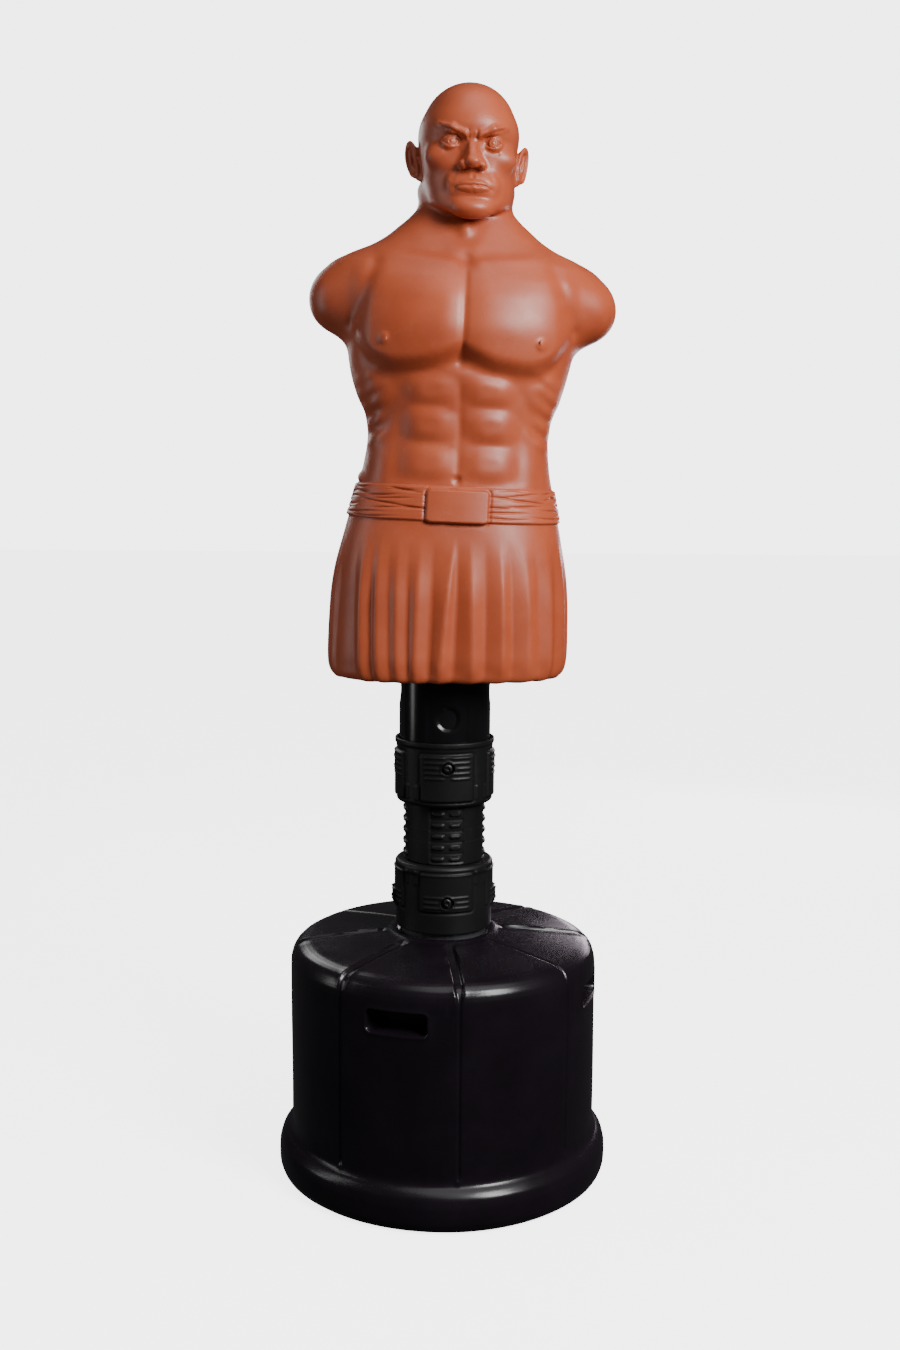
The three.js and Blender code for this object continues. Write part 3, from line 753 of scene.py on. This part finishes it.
def folded(turn, count=4):
    """Angle from the middle of the nearest of `count` equal sectors, in degrees."""
    span = 360 / count
    return (np.degrees(turn) + span / 2) % span - span / 2


# ------------ base tank
TANK_RADIUS, FOOT_RADIUS = 252.0, 273.0
HALF_THE_GROOVES = [(6, 6.2, 1.8), (51, 1.6, 1.3), (96, 6.2, 1.8), (141, 6.2, 3.6)]
GROOVES = [(half + turn, wide, narrow) for half in (0, 180) for turn, wide, narrow in HALF_THE_GROOVES]
HAND_HOLDS = [-16.5 + 90 * number for number in range(4)]
HOLD_WIDTH, HOLD_HEIGHT, HOLD_MIDDLE, HOLD_DEPTH, HOLD_CORNER = 49.0, 17.5, 325.0, 33.0, 8.0


def tank_push(r, z, turn):
    outside = (r > 75) & (z > 3)
    h = np.zeros_like(r)
    top = ramp(z, 350, 386)
    for middle, wide, narrow in GROOVES:
        angle = turn - math.radians(middle)
        off = np.where(np.cos(angle) > 0, np.abs(r * np.sin(angle)), 999)
        half = narrow + (wide - narrow) * top
        deep = (1.2 + 0.55 * half) * ramp(r, 92, 108) * ramp(z, 73, 84)
        h -= deep * fade(off, half - 1.6, half + 2.2)
        h += 0.9 * bump(off - half - 3.6, 2.0) * top * ramp(r, 92, 108) * (wide > 3)
        h += 2.2 * np.exp(-((off / 4.5) ** 2)) * bump(z - 78, 3.4) * (r > TANK_RADIUS - 6)
    for middle in HAND_HOLDS:
        angle = turn - math.radians(middle)
        dx = np.where(np.cos(angle) > 0, r * np.sin(angle), 999)
        edge = rounded_box(dx, z - HOLD_MIDDLE, HOLD_WIDTH, HOLD_HEIGHT, HOLD_CORNER)
        side = (r > TANK_RADIUS - 16) & (z < 380)
        h -= np.where(side, HOLD_DEPTH * fade(edge, -3.4, 0.8), 0)
        h += np.where(side, 0.9 * bump(edge - 3.0, 1.8), 0)
    h += 0.35 * np.sin(3 * turn + 0.02 * z) + 0.25 * np.sin(5 * turn - 0.013 * z + 1)
    return np.where(outside, h, 0)


def tank():
    t, f = TANK_RADIUS, FOOT_RADIUS
    low = [(0, 3), (196, 3), (206, 0), (f - 15, 0)]
    foot = [(f - 15, 0), (f - 5, 5), (f - 0.6, 16), (f, 30), (f - 0.4, 44), (f - 4, 57), (f - 11, 65),
            (f - 17, 69), (t + 0.7, 74.5), (t, 82)]
    wall = [(t, 82), (t, 300)] + [(t, z) for z in np.arange(302, 349, 1.1)]
    shoulder = [(t - 0.1, 352), (t - 0.9, 361), (t - 3.1, 369), (t - 6.9, 376), (t - 12.5, 381.6),
                (t - 20.5, 385.8), (t - 30.5, 388.4)]
    roof = [(t - 30.5, 388.4), (150, 396.8), (104, 401), (92, 402), (84, 404.5), (78, 404.5), (75, 402)]
    socket = [(70.6, 400), (70.5, 396), (70.5, 300), (0, 300)]
    profile = (spaced(low, 30) + spaced(rounded(foot, 3, 2), 4)[1:] + spaced(wall, 6)[1:]
               + spaced(shoulder, 3.4) + spaced(roof, 5)[1:] + spaced(socket, 24))
    dense = [(g, 2.6, 0.32) for g, _, _ in GROOVES]
    for middle in HAND_HOLDS:
        for side in (-1, 1):
            dense.append(((middle + side * 10.6) % 360, 1.8, 0.26))
    turns = turns_with(2.0, *dense)
    return turned_piece("base_tank_shell", profile, turns, tank_push)


FILLER_REACH, FILLER_TURN = 150, math.radians(HAND_HOLDS[2])
FILLER_PLACE = (FILLER_REACH * math.sin(FILLER_TURN), -FILLER_REACH * math.cos(FILLER_TURN))
COLUMN_TURN = 4.0


def about_axis(obj):
    obj.data.transform(Matrix.Rotation(math.radians(COLUMN_TURN), 4, "Z"))
    return obj


def moved(obj, x, y):
    obj.data.transform(Matrix.Translation((x * MM, y * MM, 0)))
    return obj


def filler_spout():
    outline = [(18, 393), (31, 393), (28, 398.5), (25, 401), (24, 404), (24, 413.9), (18, 413.9)]
    profile = rounded(outline + [outline[0]], 1.6, 3)[1:-1]
    return moved(turned_piece("filler_spout", profile, turns_with(6), closed=True), *FILLER_PLACE)


def cap_push(r, z, turn):
    grips = (r > 29) & (z < 419)
    x = r * np.sin(turn - FILLER_TURN)
    on_top = (z > 419) & (r < 25)
    bar = 1 - ramp(np.abs(x), 3.6, 5.0)
    dish = fade(r, 22, 24.5) * (1 - bar)
    return np.where(grips, -0.9 * (0.5 - 0.5 * np.cos(24 * turn)) ** 2, 0) - np.where(on_top, 3.6 * dish, 0)


def filler_cap():
    outline = [(0, 417), (24.4, 417), (24.4, 401.2), (31, 401.2), (31, 421.5), (0, 421.5)]
    profile = spaced(rounded(outline, 1.8, 4), 1.5)
    return moved(turned_piece("filler_cap_ribbed", profile, turns_with(2.5), cap_push), *FILLER_PLACE)


# ------------ cuffs and rubber neck
RIB = 1.3
CUFF_RADIUS = 79
LOWER_CUFF, UPPER_CUFF = (413, 524), (622, 719)
LOWER_BOLTS, UPPER_BOLTS = 466.0, 686.0


def cuff_push(bottom, top, boss, hole, rows, lug):
    """Relief of a cuff: four bosses with hole and ribs, and side lugs if `lug`, their height, is given."""
    boss_middle, boss_half = (boss[0] + boss[1]) / 2, (boss[1] - boss[0]) / 2
    post_height = boss[1] - 62 if lug is None else boss[1] - 8

    def push(r, z, turn):
        outer = (r > 77.5) & (z > bottom + 4) & (z < top - 3)
        a = folded(turn)
        x = r * np.radians(a)
        face = rounded_box(x, z - boss_middle, 44, boss_half, 3)
        h = 2.5 * fade(face, -1.0, 0.8)
        away = np.hypot(x, z - hole)
        h += 0.9 * fade(np.abs(away - 11.5), 0.8, 2.2)
        for row in rows:
            start = 13.5 if abs(row - hole) < 6 else 5.5
            rib = rounded_box(np.abs(x) - (start + 37) / 2, z - row, (37 - start) / 2, 1.9, 1.6)
            h += RIB * fade(rib, -0.9, 0.5)
        post = rounded_box(np.abs(x) - 52, z - post_height, 3.2, 12, 2.5)
        h += 1.6 * fade(post, -1, 0.7)
        h -= 1.2 * bump(face - 3.0, 1.4) * (np.abs(z - boss_middle) < boss_half + 8)
        if lug is not None:
            sideways = np.abs(np.abs(np.degrees(turn) % 180 - 90)) < 24
            block = rounded_box(np.abs(x), z - lug, 17, 15, 3)
            h += 3.6 * fade(block, -1, 0.8) * sideways
        h = np.where(away < 9.6, -2.2, h)
        return np.where(outer, h, 0)

    return push


def cuff(name, outline, push):
    profile = spaced(rounded(outline + [outline[0]], 2.0, 3)[1:-1], 30)
    dense = []
    for p, q in zip(profile, profile[1:] + profile[:1]):
        dense += spaced([p, q], 1.25 if min(p[0], q[0]) > 77 else 12)[:-1]
    return turned_piece(name, dense, turns_with(1.6), push, closed=True, level=True)


def lower_cuff():
    low, high = LOWER_CUFF
    r = CUFF_RADIUS
    outline = [(70.3, low), (r, low), (r, 441), (r, 508), (80.6, 512), (80.6, 519.5), (77, high), (56, high),
               (56, 518.3), (70.3, 518.3)]
    push = cuff_push(low, high, (451, 512), LOWER_BOLTS, (474.5, 466.0, 457.5), 460.0)
    return cuff("lower_cuff_moulded", outline, push)


def upper_cuff():
    low, high = UPPER_CUFF
    r = CUFF_RADIUS
    outline = [(56, low), (76, low), (r, 627), (r, 716), (81, 718.5), (81, 726), (76.4, 726), (76.4, 628),
               (56, 628)]
    push = cuff_push(low, high, (632, 706), UPPER_BOLTS, (703, 694.5, 686.0, 677.5, 669), None)
    return cuff("upper_cuff_moulded", outline, push)


NECK_RADIUS, NECK_EDGE, NECK_BORE = 66, 64.6, 54
NECK_RIBS = (534.5, 553, 571.5, 590, 608.5)


def neck_push(r, z, turn):
    x = r * np.radians(folded(turn))
    face = rounded_box(x, z - 573, 28.5, 45, 3)
    h = -1.3 * fade(face, -1.0, 0.8) + 0.5 * bump(face - 1.6, 1.2)
    for row in NECK_RIBS:
        rib = rounded_box(np.abs(x) - 14, z - row, 9.3, 3.4, 3.0)
        h += 3.2 * fade(rib, -1.6, 0.5)
        h -= 0.7 * bump(z - row - 9.2, 1.5) * fade(face, -2.0, 0)
    return np.where(r > 62, h, 0)


def neck_sleeve(name, low, high, round_low, round_high):
    outside = [(NECK_RADIUS, z) for z in np.linspace(low, high, int((high - low) / 1.15) + 1)]
    if round_low:
        outside[0] = (NECK_EDGE, low)
    if round_high:
        outside[-1] = (NECK_EDGE, high)
    inside = [(NECK_BORE, z) for z in np.linspace(high, low, 6)]
    return turned_piece(name, outside + inside, turns_with(1.6), neck_push, closed=True, level=True)


def spring_wire(name, low, high, first_turn, turns):
    """A stretch of the coil spring in the neck."""
    steps, sides = int(turns * 28), 8
    middle, wire = 43.0, 5.0
    points = []
    for i in range(steps + 1):
        a = 2 * math.pi * (first_turn + turns * i / steps)
        z = low + (high - low) * i / steps
        for k in range(sides):
            b = 2 * math.pi * k / sides
            r = middle + wire * math.cos(b)
            points.append((r * math.cos(a), r * math.sin(a), z + wire * math.sin(b)))
    faces = []
    for here in range(0, steps * sides, sides):
        for k in range(sides):
            beside = (k + 1) % sides
            faces.append((here + k, here + sides + k, here + sides + beside, here + beside))
    faces += [tuple(range(sides)), tuple(steps * sides + k for k in reversed(range(sides)))]
    return mesh_object(name, points, faces)


# ------------ mast
MAST_RADIUS, MAST_BORE = 76, 70
MAST_LOW, MAST_HIGH = 636.5, 1129.7
DIMPLES = [(0, z) for z in (764, 840, 916, 992, 1068)] + [(1, z) for z in (802, 878, 954, 1030)]


def mast_push(r, z, turn):
    a = folded(turn)
    x = r * np.radians(a)
    h = -1.8 * fade(np.abs(a), 25.2, 26.6) * ramp(z, 717, 720)
    odd = np.abs((np.degrees(turn) + 45) % 180 - 45) > 45
    for side, height in DIMPLES:
        away = np.hypot(x, z - height)
        h = h - 5.0 * fade(away, 13, 22.5) * (odd == bool(side))
    return np.where((r > 73) & (z > 700) & (z < 1127), h, 0)


def mast():
    heights = [MAST_LOW, 700, 712, *np.arange(715, 1100, 2.4), MAST_HIGH]
    outside = [(MAST_RADIUS, z) for z in heights]
    inside = [(MAST_BORE, MAST_HIGH), (MAST_BORE, MAST_LOW)]
    turns = turns_with(3.0, *[(a, 28, 1.75) for a in (0, 90, 180, 270)])
    return turned_piece("mast_tube_pressed", outside + inside, turns, mast_push, closed=True, level=True)


# ------------ bolts and fittings


def bolt_mesh(name, head, thickness, shank, length, socket=True):
    """A bolt along +Z with its head's top at zero: button head, six-sided socket and a plain shank."""
    end = -thickness - length
    outline = [(0, end), (shank, end), (shank, -thickness), (head, -thickness), (head, -0.35 * thickness),
               (0.62 * head, 0), (0, 0)]
    profile = spaced(rounded(outline, 0.8, 3), 0.9)

    def push(r, z, turn):
        a = (turn + math.pi / 6) % (math.pi / 3) - math.pi / 6
        flat = r * np.cos(a)
        hollow = 1 - ramp(flat, 0.42 * head - 0.35, 0.42 * head + 0.2)
        return np.where((z > -0.6 * thickness) & (r < 0.6 * head), -0.62 * thickness * hollow, 0)

    return turned_piece(name, profile, turns_with(6), push if socket else None)


CUFF_BOLT, HEIGHT_BOLT = (7.5, 3.2, 5.0, 8), (8, 5.6, 5.0, 14)
CUFF_BOLT_REACH, HEIGHT_BOLT_REACH = 82.0, 96.0
HEIGHT_BOLTS = DIMPLES[1][1]


def radial_bolt(name, node, sizes, radius, height, degrees, body):
    """A bolt that points at the axis; sizes are its head, thickness, shank and length."""
    obj = bolt_mesh(name, *sizes)
    a = math.radians(degrees + COLUMN_TURN)
    out = Vector((math.sin(a), -math.cos(a), 0))
    matrix = out.to_track_quat("Z", "Y").to_matrix().to_4x4()
    matrix.translation = out * radius * MM + Vector((0, 0, height * MM))
    obj.data.transform(matrix)
    return fitted(obj, body, "steel", node)


def upright_screw(name, node, body):
    low, high = corners(node)
    obj = bolt_mesh(name, 5.5, 3.0, 3.0, high[2] - low[2] - 3.0)
    obj.data.transform(Matrix.Rotation(math.pi, 4, "X"))
    x, y, _ = (low + high) / 2 * MM
    obj.data.transform(Matrix.Translation((x, y, low[2] * MM)))
    return fitted(obj, body, "steel", node)


def fitted(obj, body, slot, *nodes):
    """Puts a piece on its body, in place of its CAD nodes, with its slot's material."""
    obj.data.materials.clear()
    obj.data.materials.append(MATERIALS[slot])
    if nodes:
        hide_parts(*nodes)
    if body:
        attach(obj, body)
    return obj


# ------------ materials


class Nodes:
    """A small helper for node materials in object space, with the position in metres."""

    def __init__(self, name):
        self.material = bpy.data.materials.new(name)
        self.material.use_nodes = True
        self.tree = self.material.node_tree
        self.shader = self.tree.nodes["Principled BSDF"]
        self.place = self.tree.nodes.new("ShaderNodeTexCoord").outputs["Object"]

    def add(self, kind, inputs=None, **values):
        node = self.tree.nodes.new("ShaderNode" + kind)
        for key, value in values.items():
            setattr(node, key, value)
        for key, value in (inputs or {}).items():
            node.inputs[key].default_value = value
        return node

    def link(self, source, target):
        self.tree.links.new(source, target)

    def noise(self, scale, detail=3.0, rough=0.5, stretch=None):
        node = self.add("TexNoise", {"Scale": scale, "Detail": detail, "Roughness": rough})
        place = self.place
        if stretch:
            scaled = self.add("Mapping", {"Scale": stretch})
            self.link(place, scaled.inputs["Vector"])
            place = scaled.outputs["Vector"]
        self.link(place, node.inputs["Vector"])
        return node.outputs["Fac"]

    def cells(self, scale):
        node = self.add("TexVoronoi", {"Scale": scale})
        self.link(self.place, node.inputs["Vector"])
        return node.outputs["Distance"]

    def between(self, source, low, high, out_low=0.0, out_high=1.0):
        span = {"From Min": low, "From Max": high, "To Min": out_low, "To Max": out_high}
        node = self.add("MapRange", span)
        self.link(source, node.inputs["Value"])
        return node.outputs["Result"]

    def sum(self, a, b, share):
        node = self.add("Math", operation="MULTIPLY_ADD")
        self.link(b, node.inputs[0])
        node.inputs[1].default_value = share
        self.link(a, node.inputs[2])
        return node.outputs[0]

    def mix(self, factor, a, b):
        node = self.add("Mix", data_type="RGBA")
        self.link(factor, node.inputs["Factor"])
        for socket, value in (("A", a), ("B", b)):
            target = [i for i in node.inputs if i.name == socket and i.type == "RGBA"][0]
            if isinstance(value, tuple):
                target.default_value = (*value, 1)
            else:
                self.link(value, target)
        return [o for o in node.outputs if o.type == "RGBA"][0]

    def creases(self, low, high):
        return self.between(self.add("NewGeometry").outputs["Pointiness"], low, high)

    def finish(self, colour, rough, height, strength, distance, metallic=0.0, **sockets):
        self.link(colour, self.shader.inputs["Base Color"])
        self.link(rough, self.shader.inputs["Roughness"])
        self.shader.inputs["Metallic"].default_value = metallic
        for key, value in sockets.items():
            self.shader.inputs[key.replace("_", " ")].default_value = value
        node = self.add("Bump", {"Strength": strength, "Distance": distance})
        self.link(height, node.inputs["Height"])
        self.link(node.outputs["Normal"], self.shader.inputs["Normal"])
        return self.material


def skin_material():
    n = Nodes("vinyl_skin")
    patches = n.between(n.noise(9, 4, 0.55), 0.35, 0.65)
    colour = n.mix(patches, (0.345, 0.062, 0.0225), (0.405, 0.080, 0.031))
    dust = n.between(n.noise(70, 5, 0.6), 0.56, 0.74)
    colour = n.mix(n.between(dust, 0, 1, 0, 0.10), colour, (0.50, 0.17, 0.09))
    # Painted shade: the skin colour is darker in creases and hollows, where the surface curves in.
    colour = n.mix(n.creases(0.47, 0.40), colour, (0.20, 0.036, 0.013))
    colour = n.mix(n.between(n.creases(0.54, 0.62), 0, 1, 0, 0.35), colour, (0.50, 0.14, 0.07))
    rough = n.between(n.sum(n.noise(24, 4), n.noise(420, 2), 0.4), 0.45, 0.95, 0.35, 0.48)
    grain = n.sum(n.noise(900, 3, 0.6), n.cells(620), 0.7)
    return n.finish(colour, rough, grain, 0.20, 0.0005, Specular_IOR_Level=0.46)


def moulded_material(name, dark, light, rough, grain_scale, strength, wear=0.25, **sockets):
    """Moulded plastic or rubber: `wear` is how much its edges and scuffs are paler and duller."""
    n = Nodes(name)
    colour = n.mix(n.between(n.noise(12, 4, 0.6), 0.3, 0.7), dark, light)
    worn = tuple(min(1, 3.2 * c + 0.012) for c in light)
    colour = n.mix(n.between(n.creases(0.54, 0.64), 0, 1, 0, 2 * wear), colour, worn)
    scuffs = n.between(n.noise(46, 6, 0.7, (1, 1, 0.25)), 0.62, 0.72)
    colour = n.mix(n.between(scuffs, 0, 1, 0, wear), colour, worn)
    gloss = n.between(n.sum(n.noise(17, 5), scuffs, wear), 0.35, 0.95, rough - 0.04, rough + 0.07)
    grain = n.sum(n.noise(grain_scale, 3, 0.6), n.cells(grain_scale * 0.6), 0.5)
    return n.finish(colour, gloss, grain, strength, 0.0006, **sockets)


def metal_material(name, dark, light, rough):
    n = Nodes(name)
    colour = n.mix(n.between(n.noise(160, 4, 0.6), 0.35, 0.7), dark, light)
    gloss = n.between(n.noise(300, 3), 0.3, 0.7, rough - 0.06, rough + 0.12)
    return n.finish(colour, gloss, n.noise(1400, 2), 0.08, 0.0003, metallic=1.0)


def foam_material():
    n = Nodes("foam_poured")
    colour = n.mix(n.between(n.noise(40, 5, 0.7), 0.3, 0.7), (0.60, 0.45, 0.20), (0.72, 0.58, 0.32))
    pores = n.cells(480)
    colour = n.mix(n.between(pores, 0.0, 0.35, 0.5, 0), colour, (0.36, 0.24, 0.09))
    rough = n.between(n.noise(60), 0.3, 0.7, 0.8, 0.95)
    return n.finish(colour, rough, n.sum(n.noise(300, 4), pores, 0.8), 0.7, 0.0012)


MATERIALS = {
    "skin": skin_material(),
    "foam": foam_material(),
    "tank": moulded_material(
        "tank_polyethylene", (0.0055, 0.0036, 0.0058), (0.0085, 0.0058, 0.0090), 0.27, 700, 0.08, 0.06,
        Specular_IOR_Level=0.34,
    ),
    "rubber": moulded_material(
        "cuff_rubber", (0.0050, 0.0050, 0.0052), (0.0085, 0.0085, 0.0088), 0.48, 900, 0.20, 0.15,
        Specular_IOR_Level=0.26,
    ),
    "gloss_black": moulded_material(
        "mast_gloss", (0.0035, 0.0035, 0.0040), (0.0050, 0.0050, 0.0058), 0.22, 260, 0.03, 0.05,
        Specular_IOR_Level=0.30, Coat_Weight=0.08, Coat_Roughness=0.10,
    ),
    "plastic": moulded_material(
        "fitting_plastic", (0.016, 0.016, 0.018), (0.024, 0.024, 0.027), 0.48, 800, 0.15,
    ),
    "steel": metal_material("fastener_steel", (0.030, 0.030, 0.032), (0.065, 0.065, 0.068), 0.40),
}
NODE_SLOTS = (
    ("steel", ("screw", "bolt", "column_spring", "lock_collar")), ("skin", ("mannequin_skin",)),
    ("foam", ("foam_core",)), ("tank", ("base_tank", "filler_cap")), ("gloss_black", ("mast_tube",)),
    ("plastic", ("mast_top_cap", "mast_liner", "torso_plate", "column_stem", "spring_seat")),
    ("rubber", ("cuff", "neck", "gasket")),
)
for node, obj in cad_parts.items():
    kind = next(slot for slot, words in NODE_SLOTS if any(word in node for word in words))
    obj.data.materials.clear()
    obj.data.materials.append(MATERIALS[kind])

# ------------ the figure, the tank and the column
skin = mesh_object("mannequin_figure", *figure_mesh())
fitted(skin, "torso", "skin", "mannequin_skin")
foam = mesh_object("foam_underside", *foam_mesh())
fitted(foam, "torso", "foam", "foam_core")

fitted(tank(), "base", "tank", "base_tank")
fitted(filler_spout(), "base", "tank")
fitted(filler_cap(), "cap", "tank", "filler_cap")
fitted(about_axis(lower_cuff()), "base", "rubber", "lower_cuff")
fitted(about_axis(upper_cuff()), "column_top", "rubber", "upper_cuff")
fitted(about_axis(mast()), "column_top", "gloss_black", "mast_tube")

sleeve_low = about_axis(neck_sleeve("neck_sleeve_lower", 524.2, 561.9, True, False))
fitted(sleeve_low, None, "rubber", "neck_lower")
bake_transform(sleeve_low)
sleeve_middle = about_axis(neck_sleeve("neck_sleeve_middle", 562.0, 582.0, False, False))
fitted(sleeve_middle, "neck_middle", "rubber", "neck_ring")
sleeve_high = about_axis(neck_sleeve("neck_sleeve_upper", 582.1, 621.8, False, True))
fitted(sleeve_high, None, "rubber", "neck_upper")
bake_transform(sleeve_high)
coil_low = fitted(spring_wire("spring_coil_lower", 524.0, 572.0, 0.0, 2.5), None, "steel", "column_spring")
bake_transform(coil_low)
coil_high = fitted(spring_wire("spring_coil_upper", 572.0, 616.0, 2.5, 2.5), None, "steel", "column_spring")
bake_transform(coil_high)

for number, side in enumerate(("front", "right", "rear", "left")):
    for name, node, height, body in (
        ("lower_screw", "lower_cuff_screw", LOWER_BOLTS, "base"),
        ("upper_bolt", "upper_cuff_bolt", UPPER_BOLTS, "column_top"),
    ):
        place = CUFF_BOLT_REACH, height, 90 * number
        radial_bolt(f"{name}_{side}", f"{node}_{side}", CUFF_BOLT, *place, body)
for number in (1, 2, 3, 4):
    upright_screw(f"plate_screw_{number}", f"torso_plate_screw_{number}", "torso")
for side, degrees in (("front", 0), ("rear", 180)):
    place = HEIGHT_BOLT_REACH, HEIGHT_BOLTS, degrees
    radial_bolt(f"lock_bolt_{side}", f"height_bolt_{side}", HEIGHT_BOLT, *place, "torso")

# ------------ floor, lights and camera
FLOOR = 20000
corner_points = [(-FLOOR, -FLOOR, 0), (FLOOR, -FLOOR, 0), (FLOOR, FLOOR, 0), (-FLOOR, FLOOR, 0)]
floor = mesh_object("studio_floor", corner_points, [(0, 1, 2, 3)], smooth=False)
paint = Nodes("studio_floor_paint")
for socket, value in (
    ("Base Color", (0.86, 0.86, 0.86, 1)), ("Roughness", 0.8), ("Emission Color", (1, 1, 1, 1)),
    ("Emission Strength", 3.6),
):
    paint.shader.inputs[socket].default_value = value
floor.data.materials.append(paint.material)
floor.visible_diffuse = False
floor.visible_glossy = False

world = bpy.data.worlds.new("studio_world")
world.use_nodes = True
sky = world.node_tree
ray = sky.nodes.new("ShaderNodeLightPath")


def background(node, colour, strength):
    node.inputs["Color"].default_value = (*colour, 1)
    node.inputs["Strength"].default_value = strength
    return node.outputs["Background"]


def for_rays(kind, others, theirs):
    """The light `theirs` for one kind of ray, and `others` for the rest."""
    node = sky.nodes.new("ShaderNodeMixShader")
    sky.links.new(ray.outputs[kind], node.inputs["Fac"])
    sky.links.new(others, node.inputs[1])
    sky.links.new(theirs, node.inputs[2])
    return node.outputs["Shader"]


fill = background(sky.nodes["Background"], (0.95, 0.97, 1.0), 0.16)
mirrored = background(sky.nodes.new("ShaderNodeBackground"), (1.0, 0.93, 1.0), 0.045)
backdrop = background(sky.nodes.new("ShaderNodeBackground"), (1, 1, 1), 4.4)
light = for_rays("Is Camera Ray", for_rays("Is Glossy Ray", fill, mirrored), backdrop)
sky.links.new(light, sky.nodes["World Output"].inputs["Surface"])
bpy.context.scene.world = world


def softbox(name, place, target, size, power, tint=(1, 1, 1)):
    light = bpy.data.lights.new(name, "AREA")
    light.shape, light.size, light.size_y = "RECTANGLE", size[0], size[1]
    light.energy, light.color = power, tint
    obj = bpy.data.objects.new(name, light)
    obj.location = place
    obj.rotation_euler = (Vector(target) - Vector(place)).to_track_quat("-Z", "Y").to_euler()
    bpy.context.scene.collection.objects.link(obj)


softbox("key_right", (1.60, -1.80, 2.30), (0, 0, 1.15), (0.8, 1.3), 118)
softbox("side_left", (-2.1, -0.2, 1.3), (0, 0, 1.2), (0.35, 1.8), 9)
softbox("rim_back", (-1.2, 1.9, 1.9), (0, 0, 1.1), (0.8, 1.2), 12)
softbox("sheen_back", (1.3, 3.0, 0.9), (0, 0, 0.4), (1.4, 0.6), 16, (1.0, 0.86, 0.98))
overhead = bpy.data.lights.new("overhead", "SUN")
overhead.energy, overhead.angle = 1.1, math.radians(50)
overhead_lamp = bpy.data.objects.new("overhead", overhead)
overhead_lamp.rotation_euler = (math.radians(14), math.radians(10), 0)
bpy.context.scene.collection.objects.link(overhead_lamp)

camera = bpy.data.objects.new("photo_camera", bpy.data.cameras.new("photo_camera"))
camera.data.lens = 40.0
camera.data.sensor_width = 36.0
camera.location = (0.008, -2.42, 1.149)
camera.rotation_euler = (
    Matrix.Rotation(math.radians(90 - 7.6), 3, "X") @ Matrix.Rotation(math.radians(0.4), 3, "Z")
).to_euler()
bpy.context.scene.collection.objects.link(camera)
bpy.context.scene.camera = camera
